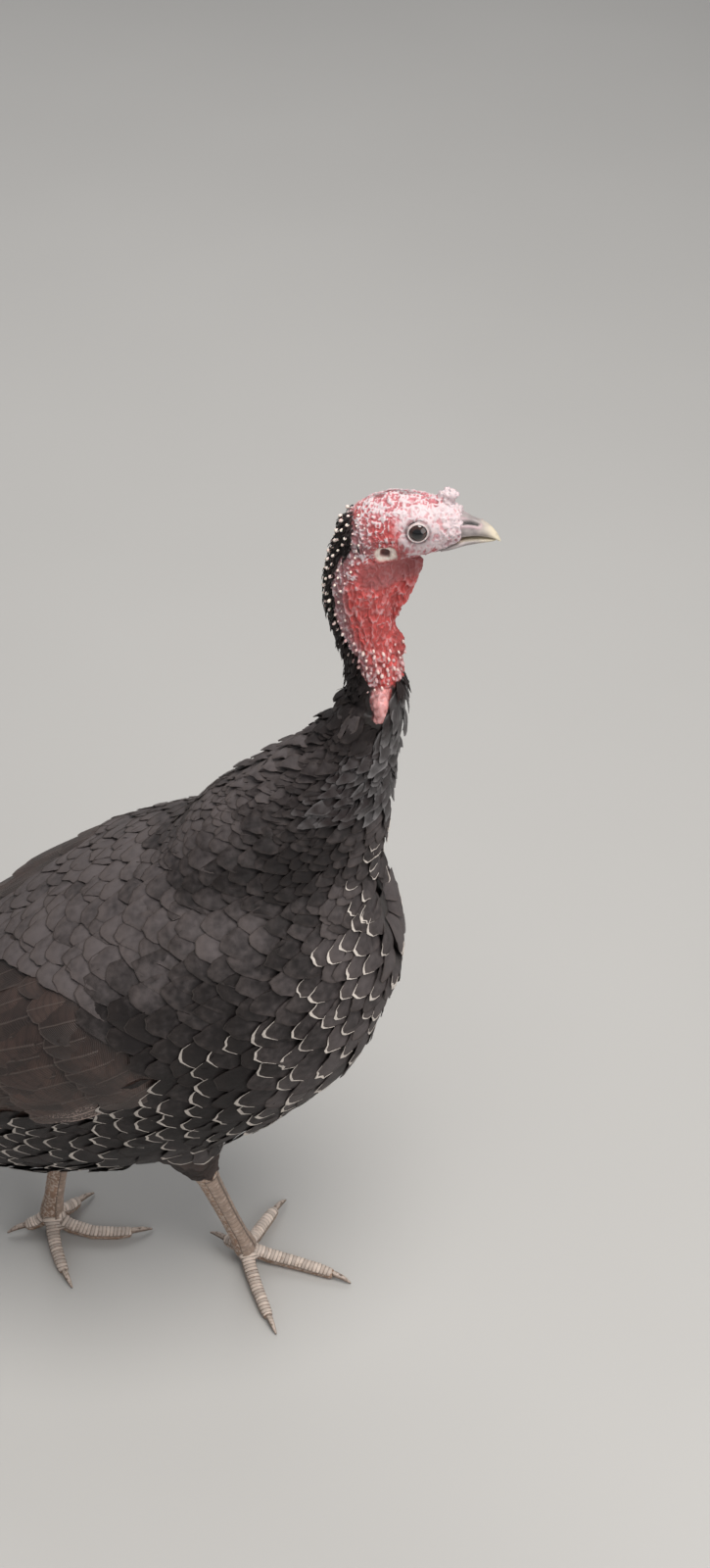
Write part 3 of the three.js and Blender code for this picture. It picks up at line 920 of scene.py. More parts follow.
# ---------------- feathers: where they root and how they lie
FLOW_STEPS = 9
TURN_UP = (0.12, 0.36)  # how strongly feathers turn up towards the back, on the breast and on the flank
PATCH = 0.003  # width of a feather on the map that its colours are baked to
BODY_CHART = 0.68  # share of that map's height for the body; the legs have the rest
SPINE_STEPS = 60


def leg_ends(side):
    return end_of(f"thigh_{side}", UP), end_of(f"shank_{side}", UP, 0.15)


LIMBS = [  # the start and end of each, and how far round it the feathers lie along it
    (BREAST, RUMP, 95 * MM),
    (NECK_TOP, NECK_MIDDLE, 40 * MM),
    (NECK_MIDDLE, NECK_BASE, 55 * MM),
    *((*leg_ends(side), 22 * MM) for side in SIDES),
]
FLOW_PLACES = np.concatenate([np.linspace(start, end, FLOW_STEPS) for start, end, _ in LIMBS])
FLOW_WAYS = np.repeat([unit(end - start) for start, end, _ in LIMBS], FLOW_STEPS, axis=0)
FLOW_REACH = np.repeat([reach for _, _, reach in LIMBS], FLOW_STEPS)


def lie_of(points, normals):
    """The way the feathers lie at points of the skin: a direction along the skin."""
    gap = np.linalg.norm(points[:, None] - FLOW_PLACES, axis=2)
    weight = np.exp(-((gap / FLOW_REACH) ** 2)) + 1e-9
    way = (weight / weight.sum(axis=1, keepdims=True)) @ FLOW_WAYS
    flank = smooth(0.75, 0.95, way @ BACKWARD) * smooth(0.65, 0.25, normals[:, 0])
    rise = TURN_UP[0] + (TURN_UP[1] - TURN_UP[0]) * flank
    return along_skin(way + rise[:, None] * UP, normals)


def spine_samples():
    """Points from the rump to the crown, each with the way up from the spine."""
    knots = [RUMP, (RUMP + BREAST) / 2, NECK_BASE + [0.06, 0, 0.03], NECK_MIDDLE, NECK_TOP]
    knots = np.concatenate([knots, from_head([(-10, 0, 10)])])
    far = reaches(knots)
    places = interpolated(np.linspace(0, far[-1], SPINE_STEPS), far, knots)
    along = unit(np.gradient(places, axis=0))
    return places, np.stack([-along[:, 2], along[:, 1] * 0, along[:, 0]], axis=1)


def body_map(points):
    """Where points lie on an unwrap of the skin: the body round its spine, and each leg round its bone."""
    spine, dorsal = spine_samples()
    nearest = np.linalg.norm(points[:, None] - spine, axis=2).argmin(axis=1)
    away = points - spine[nearest]
    across = 0.5 + np.arctan2(away[:, 1], dot(away, dorsal[nearest])) / (2 * math.pi)
    result = np.stack([across, BODY_CHART * (nearest + 0.5) / len(spine)], axis=1)
    for index, side in enumerate(SIDES):
        hip, hock = leg_ends(side)
        bone = hock - hip
        share = (points - hip) @ bone / np.sum(bone**2)
        off = points - hip - share[:, None] * bone
        on_leg = (np.linalg.norm(off, axis=1) < 45 * MM) & (share > 0.25)
        turn = 0.5 + np.arctan2(off[:, 1], off[:, 0]) / (2 * math.pi)
        height = BODY_CHART + 0.02 + (0.96 - BODY_CHART) * np.clip(share / 1.2, 0, 1)
        leg = np.stack([(turn + index) / 2, height], axis=1)
        result = np.where(on_leg[:, None], leg, result)
    return result


def tree_of(places):
    """A search tree over places."""
    tree = KDTree(len(places))
    for index, place in enumerate(places):
        tree.insert(place, index)
    tree.balance()
    return tree


def doubled_area(a, b, c):
    return np.linalg.norm(np.cross(b - a, c - a), axis=1)


class Skin:
    """The skin as a surface to lay feathers on."""

    def __init__(self):
        mesh = bpy.data.objects["skin"].data
        self.points, self.normals, _ = mesh_arrays(mesh)
        self.corners = triangles_of(mesh)
        self.tree = BVHTree.FromPolygons(self.points.tolist(), self.corners.tolist())
        self.values = {name: get_attribute(mesh, name) for name in ("coat", "thigh", "feathered")}
        self.hanging = gap_to(self.points, *LOBES) < 7 * MM

    def nearest(self, points):
        """The nearest places on the skin, the smooth normals there and the shares of the face's corners."""
        found = [self.tree.find_nearest(p) for p in points.tolist()]
        places = np.array([f[0] for f in found])
        corners = self.corners[[f[2] for f in found]]
        a, b, c = (self.points[corners[:, k]] for k in range(3))
        full = doubled_area(a, b, c) + 1e-18
        first, second = doubled_area(places, b, c) / full, doubled_area(places, c, a) / full
        shares = np.stack([first, second, np.clip(1 - first - second, 0, 1)], axis=1)
        normals = unit(np.sum(self.normals[corners] * shares[:, :, None], axis=1))
        return places, normals, (corners, shares)

    def value(self, name, at):
        corners, shares = at
        return np.sum(self.values[name][corners] * shares, axis=1)

    def scattered(self, wanted, spacing, seed, candidates=10):
        """Evenly spread places on the skin where the wanted vertices are, about the spacing apart."""
        draw = np.random.default_rng(seed)
        kept = self.corners[wanted[self.corners].all(axis=1)]
        area = doubled_area(*(self.points[kept[:, k]] for k in range(3))) / 2
        share = area / np.mean(spacing[kept], axis=1) ** 2
        count = int(share.sum() * candidates)
        face = draw.choice(len(kept), count, p=share / share.sum())
        one, two = np.sqrt(draw.random(count)), draw.random(count)
        weights = np.stack([1 - one, one * (1 - two), one * two], axis=1)
        places = np.sum(self.points[kept[face]] * weights[:, :, None], axis=1)
        reach = np.sum(spacing[kept[face]] * weights, axis=1)
        return self.evened(*thinned_out(places, reach))

    def evened(self, places, reach, rounds=7):
        """Pushes places apart along the skin until they sit about their reach apart."""
        for _ in range(rounds):
            tree = tree_of(places)
            push = np.zeros_like(places)
            for index, place in enumerate(places):
                for near, _, gap in tree.find_n(place, 7)[1:]:
                    over = 1.12 * reach[index] - gap
                    if over > 0 and gap > 0:
                        push[index] += (place - np.array(near)) / gap * over * 0.22
            places, *_ = self.nearest(places + push)
        return places, reach


def thinned_out(places, reach, share=0.8):
    """Keeps places, in their order, that have no kept one within the share of their reach."""
    tree = tree_of(places)
    open_places = np.ones(len(places), bool)
    kept = []
    for index, place in enumerate(places):
        if open_places[index]:
            kept.append(index)
            for _, other, _ in tree.find_range(place, reach[index] * share):
                open_places[other] = False
    return places[kept], reach[kept]


# ---------------- feathers: their shape
VANE_THICK = 0.25 * MM
LAY_STEPS = 8  # in which a vane follows the skin


@dataclass
class Cut:
    """The cut of one kind of feather. Shares are of its length or of half its width."""

    rows: int
    columns: int
    foot: float  # width at the root
    widest: float  # share of the length where the vane is widest
    point: float  # how much the vane narrows from there to its end
    tip: float  # how much shorter the edges are than the middle
    arch: float  # height of the middle over the edges
    fray: float


@dataclass
class Bed:
    """Roots of many feathers with their sizes: metres, and shares or radians where a comment says so."""

    roots: np.ndarray
    length: np.ndarray
    width: np.ndarray
    low: np.ndarray  # height of the root over the skin
    high: np.ndarray  # height of the tip over that of the coat it lies in
    deep: np.ndarray  # share of the coat's depth under the tip that carries it
    turn: np.ndarray  # radians off the lie of the plumage
    roll: np.ndarray  # how much one edge is raised, as a share of half the width
    tone: np.ndarray  # from 0, dark, to 1, light

    def __post_init__(self):
        for field in fields(self)[1:]:
            setattr(self, field.name, np.zeros(len(self.roots)) + getattr(self, field.name))

    def part(self, chosen):
        return Bed(*(getattr(self, field.name)[chosen] for field in fields(self)))


def vane_outline(cut, seed, count, shares=None):
    """Across (-1 to 1) and along (0 to 1) of each grid point of vanes: with frayed edges, and without."""
    draw = np.random.default_rng(seed)
    if shares is None:
        shares = np.linspace(0, 1, cut.rows)[None, :, None]
    t = np.broadcast_to(shares, (count, shares.shape[1], cut.columns))
    w = np.broadcast_to(np.linspace(-1, 1, cut.columns), t.shape)
    rise = np.sin(np.clip(t / cut.widest, 0, 1) * math.pi / 2)
    fall = np.clip((t - cut.widest) / (1 - cut.widest), 0, 1) ** 2
    width = (cut.foot + (1 - cut.foot) * rise) * (1 - cut.point * fall)
    ragged = draw.normal(0, cut.fray, (count, 1, cut.columns)) * t**3
    edges = np.where(np.abs(w) > 0.99, draw.normal(0, cut.fray, t.shape), 0)
    return w * width * (1 + edges), t - cut.tip * w**2 * t**2 + ragged, w, t


def lay(skin, bed, cut, seed, shares=None, ways=None):
    """Grids of points of vanes laid over the skin, along its lie or in the given ways."""
    across, along, w, t = vane_outline(cut, seed, len(bed.roots), shares)
    place, normal, at = skin.nearest(bed.roots)
    way = lie_of(place, normal) if ways is None else along_skin(ways, normal)
    way = unit(way * np.cos(bed.turn)[:, None] + np.cross(normal, way) * np.sin(bed.turn)[:, None])
    trail = [np.column_stack([place, way, skin.value("coat", at)])]
    for _ in range(LAY_STEPS):
        place, normal, at = skin.nearest(place + way * (bed.length / LAY_STEPS)[:, None])
        drift = 0.25 * lie_of(place, normal) if ways is None else 0
        way = unit(0.75 * along_skin(way, normal) + drift)
        trail.append(np.column_stack([place, way, skin.value("coat", at)]))
    trail = np.array(trail)
    spot = np.clip(along, 0, 1) * LAY_STEPS
    step = np.minimum(spot.astype(int), LAY_STEPS - 1)
    part = (spot - step)[..., None]
    vane = np.arange(len(bed.roots))[:, None, None]
    sample = trail[step, vane] * (1 - part) + trail[step + 1, vane] * part
    middle, heading, depth = sample[..., :3], unit(sample[..., 3:6]), sample[..., 6]

    names = ("length", "width", "low", "high", "deep", "roll")
    length, width, low, high, deep, roll = (getattr(bed, name)[:, None, None] for name in names)
    middle = middle + heading * ((along - np.clip(along, 0, 1)) * length)[..., None]
    _, normals, _ = skin.nearest(middle.reshape(-1, 3))
    aside = np.cross(normals.reshape(middle.shape), heading)
    flat = (middle + aside * (across * width / 2)[..., None]).reshape(-1, 3)
    on_skin, normals, _ = skin.nearest(flat)
    drop = on_skin - flat
    fallen = np.linalg.norm(drop, axis=1, keepdims=True)
    held = flat + drop * np.minimum(1, 0.3 * bed.width.mean() / np.maximum(fallen, 1e-9))
    rise = low + (high + deep * depth - low) * (0.85 * (1 - (1 - t) ** 3) + 0.15 * t)
    rise = rise + width / 2 * (cut.arch * 2 * (1 - w * w) * np.sqrt(t) + roll * w * t)
    normals = normals.reshape(middle.shape)
    grid = held.reshape(middle.shape) + normals * rise[..., None]
    return grid, grid - normals * VANE_THICK, w, t


class Plumage:
    """Gathers vanes and joins them to one mesh."""

    def __init__(self):
        self.points, self.faces, self.vanes, self.maps, self.tones = [], [], [], [], []
        self.count = 0

    def add(self, grid, under, across, along, tones, spots, patch=(PATCH, PATCH)):
        """Adds vanes as closed solids between the grids of their upper and under sides."""
        number, rows, columns, _ = grid.shape
        size = rows * columns
        index = np.arange(size).reshape(rows, columns)
        top = np.stack([index[:-1, :-1], index[1:, :-1], index[1:, 1:], index[:-1, 1:]], axis=-1)
        top = top.reshape(-1, 4)
        rim = np.concatenate([index[0, :], index[1:, -1], index[-1, -2::-1], index[-2:0:-1, 0]])
        after = np.roll(rim, -1)
        side = np.stack([rim, after, after + size, rim + size], axis=-1)
        faces = np.concatenate([top, top[:, ::-1] + size, side])
        starts = self.count + np.arange(number) * size * 2
        maps = np.stack([(across + 1) / 2, along], axis=-1).reshape(number, size, 2)
        maps = np.concatenate([maps, maps], axis=1)
        self.faces.append((faces + starts[:, None, None]).reshape(-1, 4))
        self.points.append(np.stack([grid, under], axis=1).reshape(-1, 3))
        self.vanes.append(maps.reshape(-1, 2))
        self.maps.append((spots[:, None] + (maps - 0.5) * patch).reshape(-1, 2))
        self.tones.append(np.repeat(tones, size * 2))
        self.count += number * size * 2

    def piece(self, name, material, slot, replaces=()):
        points, faces, tones = (np.concatenate(part) for part in (self.points, self.faces, self.tones))
        mesh = mesh_from(name, points, faces.tolist(), math.radians(50))
        put_attribute(mesh, "tone", tones)
        corners = read(mesh.loops, "vertex_index", kind=np.int64)
        for label, values in (("OFBake", self.maps), ("Vane", self.vanes)):
            layer = mesh.uv_layers.new(name=label)
            layer.data.foreach_set("uv", np.concatenate(values)[corners].astype(np.float32).ravel())
        make_piece(name, mesh, material, replaces)


def feather_finish(name, base, lightest, edge_share, gloss=0.0, sheen=None, edge=None):
    """Dark vane with fine barbs, a thin paler edge and a slight sheen."""
    *_, colours = settings()
    feather = Finish(name, Specular_IOR_Level=0.3)
    _, along, side, tone = feather.vane()
    mottle = feather.noise(240, 4)
    cloud = feather.noise(30, 3)
    barbs = (along * 260 + side * 70 + tone * 70).sine()
    # The tone carries painted light on the body, neck and thigh feathers, so their upward and forward faces
    # lean to the lightest colour.
    light = (tone * 0.85 + (mottle - 0.5) * 0.7 + (cloud - 0.5) * 0.9).between(0.0, 1.0)
    colour = feather.mix(light, base * 0.75, lightest)
    colour = feather.mix(barbs.between(-0.2, 1) * 0.12, colour, base * 0.4)
    rim = side.between(0.55, 1.0).higher(along.between(0.7, 1.0))
    rim = rim * edge_share * (0.1 + light * 0.7 + mottle * 0.3)
    colour = feather.mix(rim, colour, edge or colours.plumage_edge)
    feather.paint(Base_Color=colour, Roughness=0.66 - gloss * 0.5 + 0.3 * (mottle - 0.5) + 0.06 * barbs)
    if sheen is not None:
        feather.paint(Coat_Weight=gloss * 0.6, Coat_Roughness=0.32, Coat_Tint=sheen, Specular_Tint=sheen)
    feather.bump(barbs * 0.2 + mottle * 1.4 + cloud, 0.5 * MM, 0.5)
    return feather.material


def fringe_finish(name, colour):
    fringe = Finish(name, Roughness=0.75)
    mottle = fringe.noise(420, 3)
    # The tone carries painted light of the feathers' upward and forward faces.
    light = (fringe.attribute("tone") * 0.5 + mottle * 0.7).between(0.2, 1.0)
    fringe.paint(Base_Color=fringe.mix(light, colour * 0.55, colour * 1.15))
    fringe.bump(mottle, 0.2 * MM, 0.5)
    return fringe.material


# ---------------- feathers: body, neck and thighs
BODY_CUT = Cut(rows=8, columns=9, foot=0.4, widest=0.45, point=0.14, tip=0.4, arch=0.03, fray=0.022)
NECK_CUT = Cut(rows=7, columns=5, foot=0.35, widest=0.45, point=0.4, tip=0.36, arch=0.16, fray=0.05)
THIGH_CUT = Cut(rows=7, columns=5, foot=0.4, widest=0.45, point=0.3, tip=0.36, arch=0.1, fray=0.07)
FRINGE_ROWS = 3
FRINGE_WIDTH = 0.66  # half width of a crescent or rim, as a share of the feather's
FRINGE_THIN = 0.06  # beyond that width, what is left of its depth
FRINGE_RISE = 0.35 * MM  # how far it stands over its feather
BODY_LENGTH = 2.8  # a body feather's length and width, in spacings
BODY_WIDTH = 1.95
BACK_RISE = 40 * MM  # feathers rooted this high over the trunk's axis are the back's
CRESCENT_BACK = np.array([-10, 5, 22, 50, 83, 119, 140, 420]) * MM  # where the pale crescents begin:
CRESCENT_UP = np.array([53, 41, 28, 17, 12, 2, -8, -12]) * MM  # back from the breast and up


def lay_piece(name, skin, bed, cut, seed, finish, slot="body_feathers", fringe=None, fringes=None):
    """Makes a piece of a bed of feathers. Their fringes, as shares of the length, join those gathered."""
    spots = body_map(bed.roots)
    dark = None
    if fringe is not None:
        w = np.linspace(-1, 1, cut.columns)
        start = 1 - fringe[:, None, None] * np.maximum(FRINGE_THIN, 1 - (w / FRINGE_WIDTH) ** 2)
        dark = np.linspace(0, 1, cut.rows)[:, None] * start
        pale = start + (1 - start) * np.linspace(0, 1, FRINGE_ROWS)[:, None]
        raised = replace(bed, high=bed.high + FRINGE_RISE)
        inner = [part[:, :, 1:-1] for part in lay(skin, raised, cut, seed, pale)]
        fringes.add(*inner, bed.tone, spots)
    plumage = Plumage()
    plumage.add(*lay(skin, bed, cut, seed, dark), bed.tone, spots)
    plumage.piece(name, finish, slot)


def feather_spacing(points, thigh):
    """Distance between roots at points of the skin."""
    coat, *_ = settings()
    back, up = on_trunk(points)
    on_back = smooth(-20, 30, np.degrees(np.arctan2(up, np.abs(points[:, 1]))))
    body = coat.breast_spacing + (coat.back_spacing - coat.breast_spacing) * on_back
    body = body * (1 - 0.28 * smooth(50 * MM, 5 * MM, back))
    down_neck = 1 - smooth(NECK_BASE[2] - 40 * MM, NECK_MIDDLE[2] - 30 * MM, points[:, 2])
    spacing = coat.neck_spacing + (body - coat.neck_spacing) * down_neck
    low = node_points(*THIGHS)[:, 2].min()
    on_thigh = coat.thigh_spacing * (1 + 0.8 * smooth(low, low + 80 * MM, points[:, 2]))
    return spacing * (1 - thigh) + on_thigh * thigh


def crescent_share(place, normal):
    """1 where feathers end in a pale crescent: up the front of the breast and back along the flank."""
    back, up = on_trunk(place)
    top = np.interp(back, CRESCENT_BACK, CRESCENT_UP)
    flank = smooth(top + 3 * MM, top - 5 * MM, up)
    front = smooth(0.76, 0.92, normal[:, 0]) * smooth(0.46, 0.43, place[:, 2])
    under = smooth(-0.72, -0.9, normal[:, 2])
    return np.maximum(flank, front) * (1 - 0.85 * under)


def feather_bed(skin):
    """The roots of all feathers that lie on the skin, with which are the neck's, the thighs' and pale."""
    spacing = feather_spacing(skin.points, skin.values["thigh"])
    spacing = spacing * (1 + 0.1 * noise(skin.points / (30 * MM), 17))
    nape = skin.points[:, 2] > BARE_FRONT + 12 * MM
    wanted = (skin.values["feathered"] > 0.5) & ~nape & ~under_wing(skin.points, -30 * MM) & ~skin.hanging
    roots, reach = skin.scattered(wanted, spacing, 5)
    place, normal, at = skin.nearest(roots)
    thigh = skin.value("thigh", at)
    draw = np.random.default_rng(6)
    count = len(roots)
    neck = smooth(NECK_BASE[2] + 20 * MM, NECK_MIDDLE[2] - 30 * MM, place[:, 2]) * (1 - thigh)
    length = reach * (BODY_LENGTH + 1.3 * neck) * draw.uniform(0.87, 1.13, count)
    width = reach * (BODY_WIDTH - 0.35 * neck) * draw.uniform(0.94, 1.06, count)
    loose = (draw.random(count) < 0.3 * neck) * draw.uniform(0.2, 1.0, count)
    belly = smooth(-0.45, -0.8, normal[:, 2]) * (1 - neck) * draw.random(count)
    high = 0.5 * MM + loose * length * 0.22 + belly * 5 * MM
    deep = draw.uniform(0.92, 1.0, count) * (1 - 0.1 * neck * draw.random(count))
    turn = draw.normal(0, 0.09 + 0.13 * neck + 0.2 * belly)
    roll = draw.normal(0, 0.04 + 0.08 * neck)
    # Painted light: feathers facing up or forward get a higher tone, so the lit back, shoulders and breast
    # are painted lighter; the rest of the tone varies at random.
    light = np.maximum(smooth(0.2, 0.85, normal[:, 2]), 0.7 * smooth(0.3, 0.8, normal[:, 0]))
    tone = np.clip(0.3 * draw.random(count) ** 1.6 + light * (0.6 + 0.3 * draw.random(count)), 0, 1)
    bed = Bed(place, length, width, 0.3 * MM, high, deep, turn, roll, tone)
    neck, pale = neck > 0.5, crescent_share(place, normal) * (1 - thigh)
    behind = neck & (normal[:, 0] + 0.25 * noise(place / (12 * MM), 22) < 0.05)
    return bed, neck, behind, thigh > 0.5, pale


class TURKEY_OT_feathers(bpy.types.Operator):
    """Shingled feathers of the body with pale crescents on the lower ones, and those of neck and thighs"""

    bl_idname = "turkey.feathers"
    bl_label = "Feathers of body, neck and thighs"

    def execute(self, context):
        *_, colours = settings()
        skin = Skin()
        bed, neck, behind, thigh, pale = feather_bed(skin)
        upper = on_trunk(bed.roots)[1] > BACK_RISE
        draw = np.random.default_rng(8)
        pale = ~neck & ~thigh & (pale > draw.uniform(0.2, 1.25, len(pale)))
        dark = ~neck & ~thigh & ~pale
        base = colours.plumage
        vane = feather_finish("dark_feathers", base, colours.plumage_light, 0.4)
        crescent = fringe_finish("pale_fringe", colours.fringe)
        rim = fringe_finish("brown_fringe", colours.plumage_edge * 0.45)
        fringed = {
            "breast_crescents": (crescent, (0.036, 0.068), 11, {"breast": pale}),
            "dark_feather_edges": (rim, (0.006, 0.02), 12, {"back": dark & upper, "flank": dark & ~upper}),
        }
        for name, (finish, depths, seed, tracts) in fringed.items():
            fringes = Plumage()
            for tract, here in tracts.items():
                piece, fringe = f"{tract}_feathers", draw.uniform(*depths, here.sum())
                lay_piece(piece, skin, bed.part(here), BODY_CUT, seed, vane, fringe=fringe, fringes=fringes)
            fringes.piece(name, finish, "body_feathers")
        gloss = colours.gloss
        brown = base * 0.6 + colours.wing_brown * 0.5
        matt = feather_finish("hindneck_feathers", base * 1.8, colours.plumage_light, 0.45, 0.1)
        # Painted highlights: the neck feathers' lightest colour and broad pale edges are taken from the
        # gloss colour, for glints on their edges.
        glossy = feather_finish("neck_feathers", base * 2.8, gloss * 0.15, 0.8, 0.5, gloss, gloss * 0.45)
        soft = feather_finish("thigh_feathers", brown, brown * 4, 0.4)
        plain = {
            "hindneck": (behind, NECK_CUT, 23, matt),
            "neck": (neck & ~behind, NECK_CUT, 21, glossy),
            "thigh": (thigh, THIGH_CUT, 31, soft),
        }
        for tract, (here, cut, seed, finish) in plain.items():
            lay_piece(f"{tract}_feathers", skin, bed.part(here), cut, seed, finish)
        return {"FINISHED"}


# ---------------- eyes
EYE_RINGS = 30
EYE_AROUND = 48
CORNEA_BULGE = 0.035  # how far the cornea stands out of the eyeball, in its radii
PUPIL = 0.34  # radius of the pupil, in eyeball radii
IRIS = 0.63
PUPIL_BLACK = (0.003, 0.003, 0.004)


def eyeball(side):
    """An eyeball with its cornea, as points in the skull's frame and their distance from its axis."""
    _, head, _ = settings()
    radius = head.eye_radius / MM
    tilt = np.linspace(0, math.pi, EYE_RINGS + 2)[1:-1, None]
    turn = np.arange(EYE_AROUND) * 2 * math.pi / EYE_AROUND
    out, rise = (np.repeat(part, EYE_AROUND, axis=1) for part in (np.sin(tilt), np.cos(tilt)))
    bulge = 1 + CORNEA_BULGE * smooth(0.75, 0.35, out) * (rise > 0)
    ring = np.stack([out * np.cos(turn), side * rise * bulge, out * np.sin(turn)], axis=-1).reshape(-1, 3)
    points = np.concatenate([[[0, side * (1 + CORNEA_BULGE), 0]], ring, [[0, -side, 0]]]) * radius
    shares = np.concatenate([[0], np.where(rise > 0, out, 1).ravel(), [1]])
    return points + (0, side * EYE_OUT / MM, 0), shares


def eye_finish():
    *_, colours = settings()
    eye = Finish("eye_glaze", Roughness=0.06, Coat_Weight=1.0, Coat_Roughness=0.02, IOR=1.38)
    out = eye.attribute("out")
    ring = out.between(PUPIL, PUPIL + 0.1) * (1 - out.between(IRIS - 0.06, IRIS))
    iris = eye.mix(eye.noise(900, 3).between(0.3, 0.7), colours.iris, colours.iris * 2.4)
    eye.paint(Base_Color=eye.mix(ring, PUPIL_BLACK, iris))
    return eye.material


class TURKEY_OT_eyes(bpy.types.Operator):
    """Dark eyes with a cornea"""

    bl_idname = "turkey.eyes"
    bl_label = "Eyes"

    def execute(self, context):
        finish = eye_finish()
        for side, sign in SIDES.items():
            points, shares = eyeball(sign)
            mesh = lathed(f"eyeball_{side}", from_head(points), EYE_RINGS, EYE_AROUND)
            put_attribute(mesh, "out", shares)
            make_piece(mesh.name, mesh, finish, [f"eye_{side}"])
        return {"FINISHED"}


# ---------------- bill
# Cuts across each half of the bill in millimetres: place ahead, height of the middle, half width, and the
# reach up and down from the middle.
UPPER_BILL = [
    (13, -3.0, 7.6, 7.2, 7.6), (17, -3.2, 7.9, 7.6, 7.2), (22, -4.3, 7.0, 6.4, 5.6),
    (27, -5.4, 6.0, 5.0, 4.4), (32, -7.2, 4.9, 4.4, 3.5), (36, -9.8, 3.4, 3.4, 2.4),
    (38.4, -12.4, 1.9, 2.3, 1.6), (39.6, -14.4, 0.5, 0.7, 0.5),
]
LOWER_BILL = [
    (9, -14.6, 6.4, 1.4, 2.4), (14, -13.6, 6.9, 1.8, 2.8), (22, -12.3, 5.4, 1.8, 2.5),
    (30, -12.4, 3.9, 1.4, 1.9), (35.5, -13.2, 2.0, 0.8, 1.0), (37.2, -13.6, 0.4, 0.3, 0.4),
]
BILL_RINGS = 44
BILL_AROUND = 56
NOSTRIL = (25.6, -1.6)  # ahead and up of the eye, its middle
NOSTRIL_FALL = math.radians(-14)
TOMIUM = 0.22  # how sharply the cutting edge of the bill is drawn out


def bill_half(sections, edge):
    """Points of one half of the bill, rounded cuts drawn out to an edge, and how far along it each lies."""
    steps = 1 - (1 - np.linspace(0, 1, BILL_RINGS)) ** 1.25
    rows = interpolated(steps, np.linspace(0, 1, len(sections)), sections)
    for _ in range(4):
        rows[1:-1] = rows[1:-1] * 0.5 + (rows[:-2] + rows[2:]) * 0.25
    turn = np.arange(BILL_AROUND) * 2 * math.pi / BILL_AROUND
    aside, rise = np.cos(turn), np.sin(turn)
    aside = np.sign(aside) * np.abs(aside) ** (1 - TOMIUM * bump(rise, edge, 0.35))
    ahead, middle, wide, up, down = rows.T[:, :, None]
    height = middle + np.where(rise > 0, up, down) * rise
    points = np.stack([ahead + 0 * aside, wide * aside, height], axis=-1)
    points = np.concatenate([[points[0].mean(axis=0)], points.reshape(-1, 3), [points[-1].mean(axis=0)]])
    return points, np.concatenate([[0], np.repeat(steps, BILL_AROUND), [1]])


def nostril_form(points):
    """Shares of the pale rim round each nostril and of its slit."""
    _, head, _ = settings()
    half = head.nostril / MM / 2
    away = points[:, [0, 2]] - NOSTRIL
    along = away @ (math.cos(NOSTRIL_FALL), math.sin(NOSTRIL_FALL))
    across = away @ (-math.sin(NOSTRIL_FALL), math.cos(NOSTRIL_FALL))
    bow = 0.9 * (1 - (along / half) ** 2)
    gap = np.hypot(np.clip(np.abs(along) - half, 0, None), across - 0.5 * bow)
    beside = smooth(2.0, 3.2, np.abs(points[:, 1]))
    return bump(gap, 1.7, 0.7) * beside, (1 - smooth(0.35, 1.0, gap)) * beside


def bill_finish():
    *_, colours = settings()
    bill = Finish("bill_horn")
    grain = bill.noise(340, 4)
    cloud = bill.noise(120, 2)
    tip = (bill.attribute("along") + (cloud - 0.5) * 0.3).between(0.42, 0.86)
    coats = [
        (tip, colours.horn_tip),
        (bill.attribute("edge") * 0.75, colours.horn_tip * 0.9),
        (bill.attribute("rim") * 0.6, colours.mauve_skin * 1.6),
        (grain.between(0.55, 0.8) * 0.35, colours.horn * 0.5),
        # Painted shade inside the nostril slit.
        (bill.attribute("slit"), colours.dark_skin * 0.5),
    ]
    colour = bill.layered(bill.mix(cloud.between(0.3, 0.7), colours.horn, colours.horn * 1.7), coats)
    bill.paint(Base_Color=colour, Roughness=0.34 + 0.25 * grain)
    bill.bump(grain + 0.5 * cloud, 0.25 * MM, 0.5)
    return bill.material


class TURKEY_OT_bill(bpy.types.Operator):
    """Hooked upper bill with its nostrils, and the lower bill"""

    bl_idname = "turkey.bill"
    bl_label = "Bill"

    def execute(self, context):
        finish = bill_finish()
        halves = {"bill_upper": (UPPER_BILL, -0.75, -1), "bill_lower": (LOWER_BILL, 0.6, 1)}
        for node, (sections, edge, cutting) in halves.items():
            points, along = bill_half(sections, edge)
            ahead, middle, _, up, down = np.array(sections).T
            ridge = middle + (up if cutting > 0 else -down)
            away = np.abs(points[:, 2] - np.interp(points[:, 0], ahead, ridge))
            rim, slit = (part * (cutting < 0) for part in nostril_form(points))
            mesh = lathed(f"{node}_horn", from_head(points), BILL_RINGS, BILL_AROUND)
            places, normals, _ = mesh_arrays(mesh)
            put_points(mesh, places + normals * ((0.5 * rim - 1.3 * slit) * MM)[:, None])
            marks = {"along": along, "rim": rim, "slit": slit, "edge": 1 - smooth(0.2, 1.4, away)}
            for mark, values in marks.items():
                put_attribute(mesh, mark, values)
            make_piece(mesh.name, mesh, finish, [node])
        return {"FINISHED"}


# ---------------- claws and scutes
CLAW_VOXEL = 0.35 * MM
TOE_SCUTE = 2.7 * MM  # pitch of the plates on the toes
SHANK_SCUTE = 4.4 * MM
SCUTE_ROWS = 4
SCUTE_COLUMNS = 9
SCUTE_LIFT = (0.1 * MM, 0.62 * MM)  # height of a plate's rear and front edge over the skin
TOE_TURNS = (-1.25, 1.25)  # radians round a limb from the way its plates face
SHANK_TURNS = [(-1.35, 0.0), (0.0, 1.35)]
LINE_POINTS = 30  # along the middle of a toe or a shank
LINE_STEPS = 80  # that its corners are rounded with


